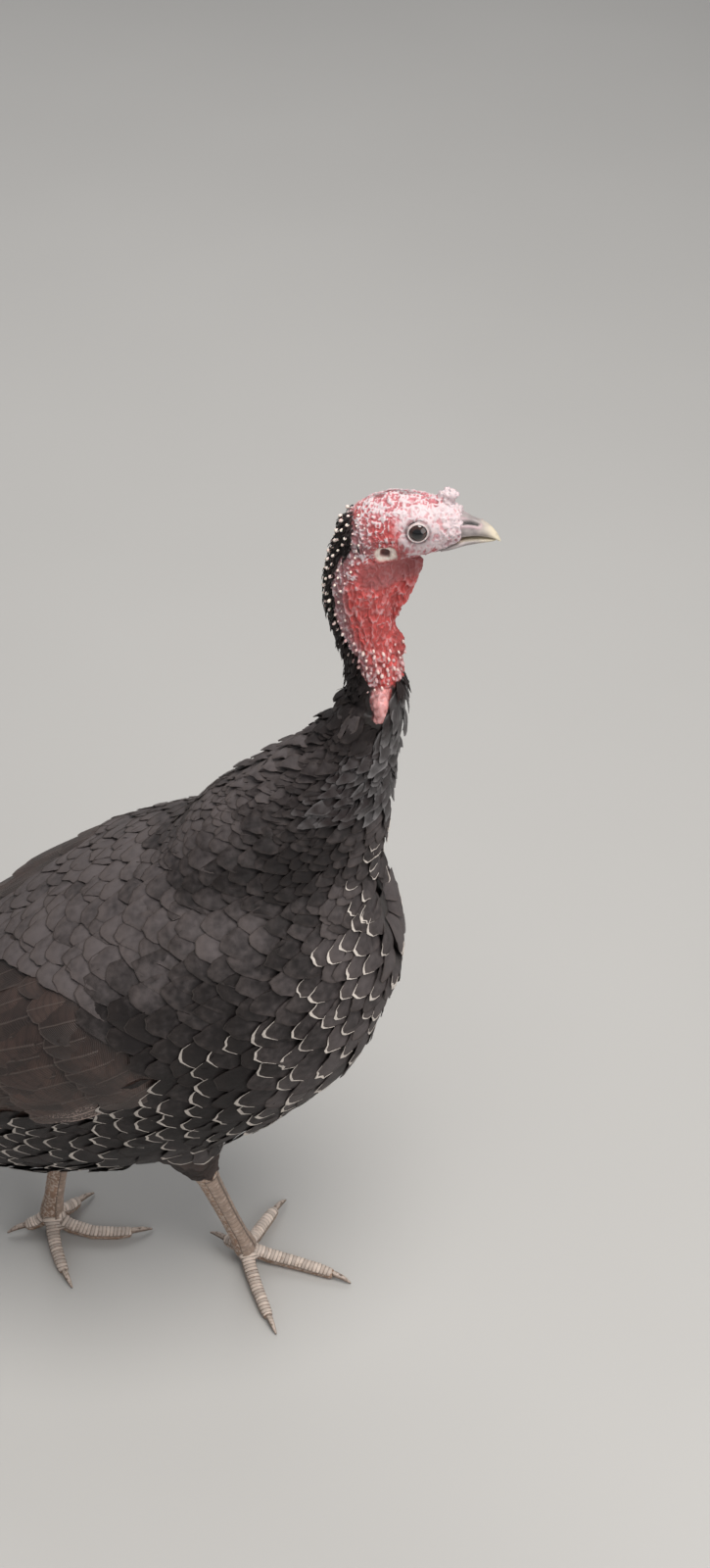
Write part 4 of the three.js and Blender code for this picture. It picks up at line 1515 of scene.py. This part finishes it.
class TURKEY_OT_claws(bpy.types.Operator):
    """Curved claws, pale along the top"""

    bl_idname = "turkey.claws"
    bl_label = "Claws"

    def execute(self, context):
        *_, colours = settings()
        mesh = fused_mesh(CLAWS, CLAW_VOXEL)
        mesh.name = "claw_horn"
        places, _, edges = mesh_arrays(mesh)
        put_points(mesh, relaxed(places, edges, 14, 0.5, 0.48))
        _, normals, _ = mesh_arrays(mesh)
        mesh.polygons.foreach_set("use_smooth", np.ones(len(mesh.polygons), bool))
        put_attribute(mesh, "top", smooth(0.1, 0.9, normals[:, 2]))
        claw = Finish("claw_horn")
        grain = claw.noise(500, 4)
        top = claw.attribute("top") * grain.between(0.25, 0.6)
        colour = claw.mix(grain.between(0.3, 0.7), colours.claw, colours.claw * 1.7)
        claw.paint(Base_Color=claw.mix(top * 0.55, colour, colours.scute), Roughness=0.35 + 0.25 * grain)
        claw.bump(grain, 0.15 * MM, 0.5)
        make_piece("claw_horn", mesh, claw.material, CLAWS)
        return {"FINISHED"}


def smooth_line(points):
    """Evenly spaced points along a line of a few points, with its corners rounded."""
    far = reaches(points)
    line = interpolated(np.linspace(0, far[-1], LINE_STEPS), far, points)
    for _ in range(60):
        line[1:-1] = line[1:-1] * 0.5 + (line[:-2] + line[2:]) * 0.25
    return interpolated(np.linspace(0, LINE_STEPS - 1, LINE_POINTS), np.arange(LINE_STEPS), line)


def plate_grids(skin, line, pitch, facing, turns):
    """Overlapping plates along a limb, each spanning turns round it, with a place for each on the limb."""
    length = reaches(line)[-1]
    steps = np.linspace(0, length, LINE_POINTS)
    count = max(3, round(length / pitch))
    around = np.linspace(*turns, SCUTE_COLUMNS)
    w = np.linspace(-1, 1, SCUTE_COLUMNS)
    bow = 0.22 * pitch * np.cos((around - around.mean()) * 1.6)
    tops, unders = [], []
    for k, share in itertools.product(range(count), np.linspace(-0.25, 0.98, SCUTE_ROWS)):
        reach = np.clip((k + share) * pitch + bow * (share > 0.5), 0, length)
        at, ahead, behind = (interpolated(reach + step, steps, line) for step in (0, pitch, -pitch))
        way = unit(ahead - behind)
        face = along_skin(facing, way)
        out = face * np.cos(around)[:, None] + np.cross(way, face) * np.sin(around)[:, None]
        hits = [skin.tree.ray_cast(Vector(a + o * 0.02), Vector(-o))[0] for a, o in zip(at, out)]
        surface = np.array([a if hit is None else hit for hit, a in zip(hits, at)])
        rise = SCUTE_LIFT[0] + (SCUTE_LIFT[1] - SCUTE_LIFT[0]) * max(0, share)
        tops.append(surface + out * (rise * (1 - 0.7 * w**4))[:, None])
        unders.append(surface - out * 0.2 * MM)
    shape = (count, SCUTE_ROWS, SCUTE_COLUMNS)
    across = np.broadcast_to(w, shape)
    along = np.broadcast_to(np.linspace(0, 1, SCUTE_ROWS)[:, None], shape)
    grids = [np.reshape(part, (*shape, 3)) for part in (tops, unders)]
    spots = [line[min(LINE_POINTS - 1, round(k / count * LINE_POINTS))] for k in range(count)]
    return (*grids, across, along), np.array(spots)


def scute_finish(name, plate, blotch):
    *_, colours = settings()
    scute = Finish(name)
    _, along, side, tone = scute.vane()
    mottle = scute.noise(330, 4)
    colour = scute.mix((tone * 0.6 + mottle * 0.6).between(0.2, 1), plate * 0.62, plate)
    colour = scute.mix(mottle.between(0.52, 0.72) * 0.5, colour, blotch)
    groove = (1 - along.between(0.24, 0.62)).higher(side.between(0.7, 1.0))
    colour = scute.mix(groove * 0.85, colour, colours.shank * 0.35)
    scute.paint(Base_Color=colour, Roughness=0.36 + 0.3 * mottle)
    scute.bump(mottle - groove * 0.5, 0.3 * MM, 0.6)
    return scute.material


class TURKEY_OT_scutes(bpy.types.Operator):
    """Horny plates over the toes and down the front of the shanks"""

    bl_idname = "turkey.scutes"
    bl_label = "Scutes"

    def execute(self, context):
        *_, colours = settings()
        skin = Skin()
        toes, shanks = Plumage(), Plumage()
        draw = np.random.default_rng(41)
        for side, sign in SIDES.items():
            shank = f"shank_{side}"
            foot, hock = end_of(shank, -UP, 0.12), end_of(shank, UP, 0.1)
            for digit in DIGITS:
                toe = f"toe_{side}_{digit}"
                reach = unit(middle_of(f"claw_{side}_{digit}") - foot)
                line = smooth_line([*midline_of(toe, reach, 6), end_of(toe, reach, 0.03)])
                grids, spots = plate_grids(skin, line, TOE_SCUTE, UP, TOE_TURNS)
                toes.add(*grids, draw.random(len(spots)), body_map(spots))
            line = smooth_line(midline_of(shank, unit(foot - hock), 7))
            ahead = unit(np.array([1.0, sign * 0.25, 0.3]))
            for turns in SHANK_TURNS:
                grids, spots = plate_grids(skin, line, SHANK_SCUTE, ahead, turns)
                shanks.add(*grids, draw.random(len(spots)) * 0.6, body_map(spots))
        pale = scute_finish("toe_plates", colours.scute, colours.shank * 1.2)
        brown = scute_finish("shank_plates", colours.scute * 0.3 + colours.shank, colours.scute * 0.8)
        toes.piece("toe_scutes", pale, "leg_scales")
        shanks.piece("shank_scutes", brown, "leg_scales")
        return {"FINISHED"}


# ---------------- bristles and papillae
BRISTLE_CUT = Cut(rows=4, columns=3, foot=0.7, widest=0.3, point=0.85, tip=0.3, arch=0.25, fray=0.05)
BEAD_SPACING = 4.3 * MM


class TURKEY_OT_papillae(bpy.types.Operator):
    """Whitish beads along the nape and clustered at the foot of the bare neck"""

    bl_idname = "turkey.papillae"
    bl_label = "Papillae"

    def execute(self, context):
        skin = Skin()
        ahead, _, up = to_head(skin.points).T
        turn = neck_turn(skin.points)
        edge = nape_edge(smooth(-105, -30, up))
        beside_nape = (turn > edge - 24) & (turn < edge + 60) & (up < 4) & (up > -90)
        low = (up < -72) & (up > -100) & (turn < edge) & (noise(skin.points / (5 * MM), 63) > -0.1)
        head = (ahead < -30) & (up > -30) & (up < 9) & (turn > 118)
        places, _ = skin.scattered(beside_nape | low | head, np.full(len(up), BEAD_SPACING), 61)
        place, normal, at = skin.nearest(places)
        draw = np.random.default_rng(62)
        count = len(place)
        low_down = smooth(-40, -90, to_head(place)[:, 2])
        among = smooth(0.3, 0.6, skin.value("feathered", at)) * (1 - low_down)
        size = draw.uniform(0.42, 0.75, count) * (1 + 0.45 * low_down + 0.5 * among) * MM
        work = bmesh.new()
        bmesh.ops.create_icosphere(work, subdivisions=2, radius=1)
        bead = np.array([v.co for v in work.verts])
        bead_faces = np.array([[v.index for v in f.verts] for f in work.faces])
        work.free()
        hang = unit(normal * 0.9 - UP * (0.5 + 0.5 * low_down)[:, None])[:, None]
        stretch = dot(bead, hang)[..., None] * hang
        stretch = stretch * (0.3 + 0.8 * low_down * draw.random(count))[:, None, None]
        points = place[:, None] + (bead + stretch) * size[:, None, None]
        points = points + normal[:, None] * (size * 0.4 + 1.8 * MM * among)[:, None, None]
        faces = bead_faces + np.arange(count)[:, None, None] * len(bead)
        mesh = mesh_from("papillae", points.reshape(-1, 3), faces.reshape(-1, 3).tolist())
        tone = np.clip(draw.random(count) * (1 - 0.65 * low_down) + 0.4 * among, 0, 1)
        put_attribute(mesh, "tone", np.repeat(tone, len(bead)))
        make_piece("papillae", mesh, self.finish())
        return {"FINISHED"}

    def finish(self):
        *_, colours = settings()
        bead = Finish("papillae", Subsurface_Weight=0.1, Subsurface_Scale=0.8 * MM)
        mottle = bead.noise(600, 2)
        pale = (bead.attribute("tone") * 0.7 + mottle * 0.4).between(0.1, 0.8)
        pink = colours.pale_skin * 0.6 + colours.red_skin * 0.4
        bead.paint(Base_Color=bead.mix(pale, pink, colours.white_skin), Roughness=0.3 + 0.3 * mottle)
        bead.bump(mottle, 0.1 * MM, 0.4)
        return bead.material


class TURKEY_OT_bristles(bpy.types.Operator):
    """Short black bristles up the nape"""

    bl_idname = "turkey.bristles"
    bl_label = "Nape bristles"

    def execute(self, context):
        *_, colours = settings()
        skin = Skin()
        at_nape = (skin.values["feathered"] > 0.35) & (skin.points[:, 2] > BARE_FRONT - 5 * MM)
        spacing = 2.0 * MM + 0.6 * MM * smooth(-20, -90, to_head(skin.points)[:, 2])
        roots, _ = skin.scattered(at_nape & ~skin.hanging, spacing, 51)
        draw = np.random.default_rng(52)
        count = len(roots)
        low_down = smooth(-20, -90, to_head(roots)[:, 2])
        length = (5.5 + 4.0 * low_down) * MM * draw.uniform(0.7, 1.25, count)
        width = (1.15 + 1.5 * low_down) * MM * draw.uniform(0.8, 1.2, count)
        high = length * draw.uniform(0.3, 0.52, count)
        turn, roll, tone = draw.normal(0, 0.35, count), draw.normal(0, 0.2, count), draw.random(count)
        bed = Bed(roots, length, width, 0.1 * MM, high, 0.4, turn, roll, tone)
        name, base = "nape_bristles", colours.plumage
        black = feather_finish(name, base, base * 2, 0.2, 0.3, colours.gloss)
        lay_piece(name, skin, bed, BRISTLE_CUT, 53, black, "neck_skin")
        return {"FINISHED"}


# ---------------- wings and tail
# Places on the folded wing are given as (back, up): metres behind the breast along the trunk and metres
# up from the trunk's axis.
WING_FRONT = [(0.144, 0.004), (0.152, 0.036), (0.161, 0.063), (0.175, 0.077), (0.205, 0.088)]
WING_EDGE = 0.001  # the lower edge of the folded wing
WING_TOP = 0.082
SECONDARY_CUT = Cut(rows=16, columns=9, foot=0.55, widest=0.3, point=0.16, tip=0.13, arch=0.035, fray=0.006)
COVERT_CUT = Cut(rows=9, columns=9, foot=0.5, widest=0.4, point=0.1, tip=0.3, arch=0.05, fray=0.008)
PRIMARY_CUT = Cut(rows=16, columns=9, foot=0.6, widest=0.3, point=0.4, tip=0.16, arch=0.04, fray=0.006)
TAIL_CUT = Cut(rows=18, columns=11, foot=0.35, widest=0.6, point=0.04, tip=0.1, arch=0.03, fray=0.004)
SHINGLE = 0.08  # how much a wing feather's lower edge is raised, as a share of half its width
LONG_PATCH = (0.009, 0.06)
COVERT_PATCH = (0.009, 0.02)
NODE_END = 12 * MM  # what counts as the end of the primaries' solid
TAIL_COVERT_ROWS = 4


def wing_front(up):
    """How far back the folded wing's long feathers start to show."""
    backs, ups = zip(*WING_FRONT)
    return np.interp(up, ups, backs)


def under_wing(points, margin):
    """Whether points of the skin lie under the folded wing, this much behind its front."""
    back, up = on_trunk(points)
    inside = (up > WING_EDGE - 2 * MM) & (up < WING_TOP - 9 * MM) & (back > wing_front(up) + margin)
    return inside & (np.abs(points[:, 1]) > 20 * MM)


def wing_roots(skin, side, backs, ups):
    """Places on the skin of the wing."""
    start = trunk_places(backs, ups, side * 0.3)
    hits = [skin.tree.ray_cast(Vector(p), Vector((0, -side, 0)))[0] for p in start]
    return np.array([p - side * 0.25 * LEFT if hit is None else hit for hit, p in zip(hits, start)])


def free_vanes(cut, seed, roots, ends, faces, width, bow=0.0, roll=0.0):
    """Grids of vanes that stand free of the skin: each faces its way and bows away from that face."""
    across, along, w, t = vane_outline(cut, seed, len(roots))
    length = np.linalg.norm(ends - roots, axis=1)[:, None, None]
    ways = unit(ends - roots)
    faces = along_skin(faces, ways)
    aside, roots, ways, faces = (part[:, None, None] for part in (np.cross(faces, ways), roots, ways, faces))
    lift = width / 2 * (cut.arch * 2 * (1 - w * w) * np.sqrt(t) + np.reshape(roll, (-1, 1, 1)) * across)
    lift = lift - bow * length * along**2
    flat = roots + ways * (along * length)[..., None] + aside * (across * width / 2)[..., None]
    grid = flat + faces * lift[..., None]
    return grid, grid - faces * VANE_THICK, w, t


def flight_piece(name, vanes, tones, roots, finish, side=-1, patch=LONG_PATCH, replaces=()):
    """Makes a piece of a row of long feathers, with its lower edges alike on both sides of the bird."""
    grid, under, across, along = vanes
    plumage = Plumage()
    plumage.add(grid, under, across * -side, along, tones, body_map(roots), patch)
    plumage.piece(name, finish, "flight_feathers", replaces)


def wing_finish():
    """Red-brown vanes with a raised shaft, fine barring and pale speckles along the lowest edge."""
    *_, colours = settings()
    base, edge = colours.wing_brown, colours.plumage_edge
    wing = Finish("wing_vanes")
    across, along, side, tone = wing.vane()
    mottle = wing.noise(150, 4)
    barbs = (along * 240 + side * 30 + tone * 9).sine()
    light = (tone * 0.5 + mottle * 0.4 + (wing.noise(42, 3) - 0.5) * 1.3).between(0.05, 0.9)
    bars = (along * 60 + mottle * 6 + tone * 5).sine().between(0.2, 0.9)
    rim = side.between(0.86, 1.0).higher(along.between(0.965, 1.0))
    lowest = tone.between(0.85, 0.95)
    speckle = wing.noise(900, 2).between(0.5, 0.62) * across.between(0.7, 0.9) * lowest
    coats = [
        (bars * 0.35, base * 0.45),
        ((1 - side).between(0.95, 0.985) * 0.5, edge),
        (rim * (0.25 + mottle * 0.5), edge),
        (speckle.higher(across.between(0.955, 0.975) * lowest), edge * 4),
    ]
    colour = wing.layered(wing.mix(light, base * 0.6, base * 2.1), coats)
    wing.paint(Base_Color=colour, Roughness=0.5 + 0.15 * barbs * mottle)
    wing.bump((1 - side).between(0.93, 0.99) * 2 + barbs * 0.35 + mottle * 0.5, 0.4 * MM, 0.6)
    return wing.material


class TURKEY_OT_wings(bpy.types.Operator):
    """Coverts, secondaries and primaries of the folded wings"""

    bl_idname = "turkey.wings"
    bl_label = "Wings"

    def execute(self, context):
        coat, *_ = settings()
        skin = Skin()
        brown = wing_finish()
        # The number of feathers; in millimetres the heights of the lowest and the highest root, how far the
        # roots lie behind the wing's front, the width, and how far root and tip stand out; the length; the
        # cut; the patch of the map; the tone of the two lowest.
        long_row = (coat.secondaries, (11, 78), 22, 33, (1.0, 8.8), coat.secondary_length)
        rows = {
            "secondaries": (*long_row, SECONDARY_CUT, LONG_PATCH, 1.0),
            "greater_coverts": (13, (10, 81), 2, 27, (1.5, 9.6), 74 * MM, COVERT_CUT, COVERT_PATCH, 1.0),
            "median_coverts": (10, (9, 82), -20, 25, (1.5, 9.4), 50 * MM, COVERT_CUT, COVERT_PATCH, 0.5),
        }
        for name, side in SIDES.items():
            draw = np.random.default_rng(71)
            for row, (count, ends, behind, width, rise, length, cut, patch, lowest) in rows.items():
                ups = np.linspace(*ends, count) * MM
                roots = wing_roots(skin, side, wing_front(ups) + behind * MM, ups)
                spread = draw.uniform(0.97, 1.03, (3, count))
                high = (rise[1] - 2.5 * np.linspace(0, 1, count) ** 2) * MM
                turn = draw.normal(0, 0.012, count) - side * 0.03
                tone = draw.random(count) * 0.7
                tone[:2] = lowest
                sizes = length * spread[0], width * MM * spread[1]
                bed = Bed(roots, *sizes, rise[0] * MM, high, 0, turn, -side * SHINGLE, tone)
                vanes = lay(skin, bed, cut, 72, ways=BACKWARD)
                flight_piece(f"{row}_{name}", vanes, tone, roots, brown, side, patch)
            self.add_primaries(f"primaries_{name}", side, coat.primaries, brown)
        return {"FINISHED"}

    def add_primaries(self, name, side, count, finish):
        """The wing's longest feathers, which come out from under the secondaries."""
        node = node_points(name)
        back, _ = on_trunk(node)
        aside = np.abs(node[:, 1])
        at_root = aside[back < back.min() + NODE_END].mean() + 3 * MM
        at_tip = aside[back > back.max() - NODE_END].mean() + 3 * MM
        share = np.linspace(0, 1, count)
        roots = trunk_places(back.min() - 45 * MM, (2 + share * 12) * MM, side * (at_root - share * 6 * MM))
        tips_back = back.max() - (2 + share * 56) * MM
        ends = trunk_places(tips_back, (share * 16 - 14) * MM, side * (at_tip - share * 5 * MM))
        outward = np.array([0, side, 0.25])
        vanes = free_vanes(PRIMARY_CUT, 75, roots, ends, outward, 23 * MM, 0.02, -side * SHINGLE)
        piece = name.replace("primaries", "primary_vanes")
        flight_piece(piece, vanes, np.linspace(0.7, 0.1, count), roots, finish, side, replaces=[name])


def tail_finish():
    *_, colours = settings()
    tail = Finish("tail_vanes")
    _, along, side, tone = tail.vane()
    mottle = tail.noise(200, 4)
    wave = (along * 95 + mottle * 9 + tone * 7).sine().between(-0.1, 0.6)
    coats = [
        (along.between(0.8, 0.84) * (1 - along.between(0.925, 0.94)), colours.plumage * 0.6),
        (along.between(0.95, 0.965), colours.fringe * 0.35),
        ((1 - side).between(0.95, 0.985) * 0.6, colours.plumage_edge),
    ]
    colour = tail.layered(tail.mix(wave, colours.wing_brown * 1.3, colours.plumage * 0.9), coats)
    tail.paint(Base_Color=colour, Roughness=0.5 + 0.15 * mottle)
    barbs = (along * 300 + side * 40).sine()
    tail.bump((1 - side).between(0.93, 0.99) * 2 + barbs * 0.3 + mottle * 0.4, 0.4 * MM, 0.6)
    return tail.material


class TURKEY_OT_tail(bpy.types.Operator):
    """Folded tail with its coverts above and below"""

    bl_idname = "turkey.tail"
    bl_label = "Tail"

    def execute(self, context):
        coat, *_ = settings()
        node = node_points("tail")
        back, up = on_trunk(node)
        root, tip = back.min(), back.max()
        level = np.median(up[back < root + 30 * MM]), np.median(up[back > tip - 30 * MM])
        half = np.abs(node[:, 1]).max()
        pairs = coat.tail_pairs
        spot = (np.arange(-pairs, pairs) + 0.5) / pairs
        outer = np.abs(spot)
        roots = trunk_places(root - 12 * MM, level[0] + (3 - 8 * outer) * MM, spot * 14 * MM)
        tips_back = tip - (1 + 16 * outer**2) * MM
        ends = trunk_places(tips_back, level[1] + (4 - 10 * outer) * MM, spot * (half - 17 * MM))
        faces = UPWARD + np.outer(spot * 0.25, LEFT)
        vanes = free_vanes(TAIL_CUT, 81, roots, ends, faces, 36 * MM, roll=np.sign(spot) * 0.03)
        draw = np.random.default_rng(82)
        tones = draw.random(len(spot))
        flight_piece("tail_vanes", vanes, tones, roots, tail_finish(), replaces=["tail"])
        self.add_coverts(root, level[0], draw)
        return {"FINISHED"}

    def add_coverts(self, root, level, draw):
        """Shorter feathers that close the root of the tail above and below."""
        *_, colours = settings()
        plumage = Plumage()
        for above, row in itertools.product((1, -1), range(TAIL_COVERT_ROWS)):
            spot = np.linspace(-1, 1, 7 - row % 2)
            rise = level + above * (15 - 2.6 * row - 5 * spot**2) * MM
            roots = trunk_places(root + (row * 13 - 46) * MM, rise, spot * (31 - 3 * row) * MM)
            ways = unit(BACKWARD - np.outer(spot * 0.16, LEFT) - above * 0.05 * UPWARD)
            length = (66 + 4 * row) * MM * draw.uniform(0.94, 1.06, len(spot))
            faces = above * UPWARD + np.outer(spot * 0.55, LEFT)
            ends = roots + ways * length[:, None]
            vanes = free_vanes(COVERT_CUT, 83 + row, roots, ends, faces, 29 * MM, 0.05, spot * 0.04)
            plumage.add(*vanes, draw.random(len(spot)), body_map(roots), COVERT_PATCH)
        dark = feather_finish("tail_coverts", colours.plumage * 1.2, colours.plumage_light, 0.9)
        plumage.piece("tail_coverts", dark, "body_feathers")


# ---------------- stage
FLOOR_SIZE = 60.0
CAMERA_PLACE = (0.3366, -0.9093, 1.2804)
CAMERA_TURN = math.radians(6)  # the view is turned this far to the bird's rear from straight across
CAMERA_TILT = math.radians(42)  # below the horizon
CAMERA_LENS = 49.5
SENSOR = 36.0
SKY = (0.93, 0.96, 1.0, 1)
SKY_STRENGTH = 0.34
LIT = Vector((0.05, 0, 0.3))  # what the lights point at
LIGHTS = {  # place, size, power and colour
    "key": ((0.6, -0.5, 2.7), 1.5, 64, (1, 0.985, 0.96)),
    "fill": ((1.7, -1.3, 1.1), 1.8, 15, (1, 1, 1)),
    "rim": ((-0.6, 1.7, 2.0), 1.4, 12, (1, 1, 1)),
}


def placed(name, data, place=(0, 0, 0), turn=(0, 0, 0)):
    """Links a new object at a place."""
    made = bpy.data.objects.new(name, data)
    made.location = place
    made.rotation_euler = turn
    bpy.context.scene.collection.objects.link(made)
    return made


class TURKEY_OT_stage(bpy.types.Operator):
    """Plain pale floor, soft light and the camera"""

    bl_idname = "turkey.stage"
    bl_label = "Stage"

    def execute(self, context):
        *_, colours = settings()
        half = FLOOR_SIZE / 2
        corners = [(-half, -half, 0), (half, -half, 0), (half, half, 0), (-half, half, 0)]
        floor = placed("floor", mesh_from("floor", corners, [(0, 1, 2, 3)]))
        finish = Finish("floor", Roughness=0.85)
        tone = finish.noise(1.3, 3).between(0.3, 0.75)
        finish.paint(Base_Color=finish.mix(tone, colours.floor, colours.floor * 1.05))
        floor.data.materials.append(finish.material)
        world = bpy.data.worlds.new("studio")
        world.use_nodes = True
        sky = world.node_tree.nodes["Background"].inputs
        sky["Color"].default_value = SKY
        sky["Strength"].default_value = SKY_STRENGTH
        context.scene.world = world
        for name, (place, size, power, colour) in LIGHTS.items():
            lamp = bpy.data.lights.new(name, "AREA")
            lamp.shape = "DISK"
            lamp.size = size
            lamp.energy = power
            lamp.color = colour
            placed(name, lamp, place, (LIT - Vector(place)).to_track_quat("-Z", "Y").to_euler())
        view = bpy.data.cameras.new("camera")
        view.sensor_width = SENSOR
        view.lens = CAMERA_LENS
        view.clip_start = 0.01
        turn = (math.pi / 2 - CAMERA_TILT, 0, CAMERA_TURN)
        context.scene.camera = placed("camera", view, CAMERA_PLACE, turn)
        context.scene.view_settings.view_transform = "Standard"
        return {"FINISHED"}


# ---------------- add-on
OPERATORS = [
    TURKEY_OT_stage,
    TURKEY_OT_skin,
    TURKEY_OT_eyes,
    TURKEY_OT_bill,
    TURKEY_OT_claws,
    TURKEY_OT_scutes,
    TURKEY_OT_papillae,
    TURKEY_OT_bristles,
    TURKEY_OT_feathers,
    TURKEY_OT_wings,
    TURKEY_OT_tail,
]


class TURKEY_PT_panel(bpy.types.Panel):
    """Lists the steps that build the bird"""

    bl_label = "Turkey"
    bl_space_type = "VIEW_3D"
    bl_region_type = "UI"
    bl_category = "Turkey"

    def draw(self, context):
        for operator in OPERATORS:
            self.layout.operator(operator.bl_idname)
        for name, group in SETTINGS.items():
            box = self.layout.box()
            for key in group.__annotations__:
                box.prop(getattr(context.scene, name), key)


def register():
    for kind in [*SETTINGS.values(), *OPERATORS, TURKEY_PT_panel]:
        bpy.utils.register_class(kind)
    for name, group in SETTINGS.items():
        setattr(bpy.types.Scene, name, PointerProperty(type=group))


def unregister():
    for name in SETTINGS:
        delattr(bpy.types.Scene, name)
    for kind in [TURKEY_PT_panel, *reversed(OPERATORS), *SETTINGS.values()]:
        bpy.utils.unregister_class(kind)


def main():
    register()
    for operator in OPERATORS:
        group, step = operator.bl_idname.split(".")
        getattr(getattr(bpy.ops, group), step)()


if __name__ == "__main__":
    main()
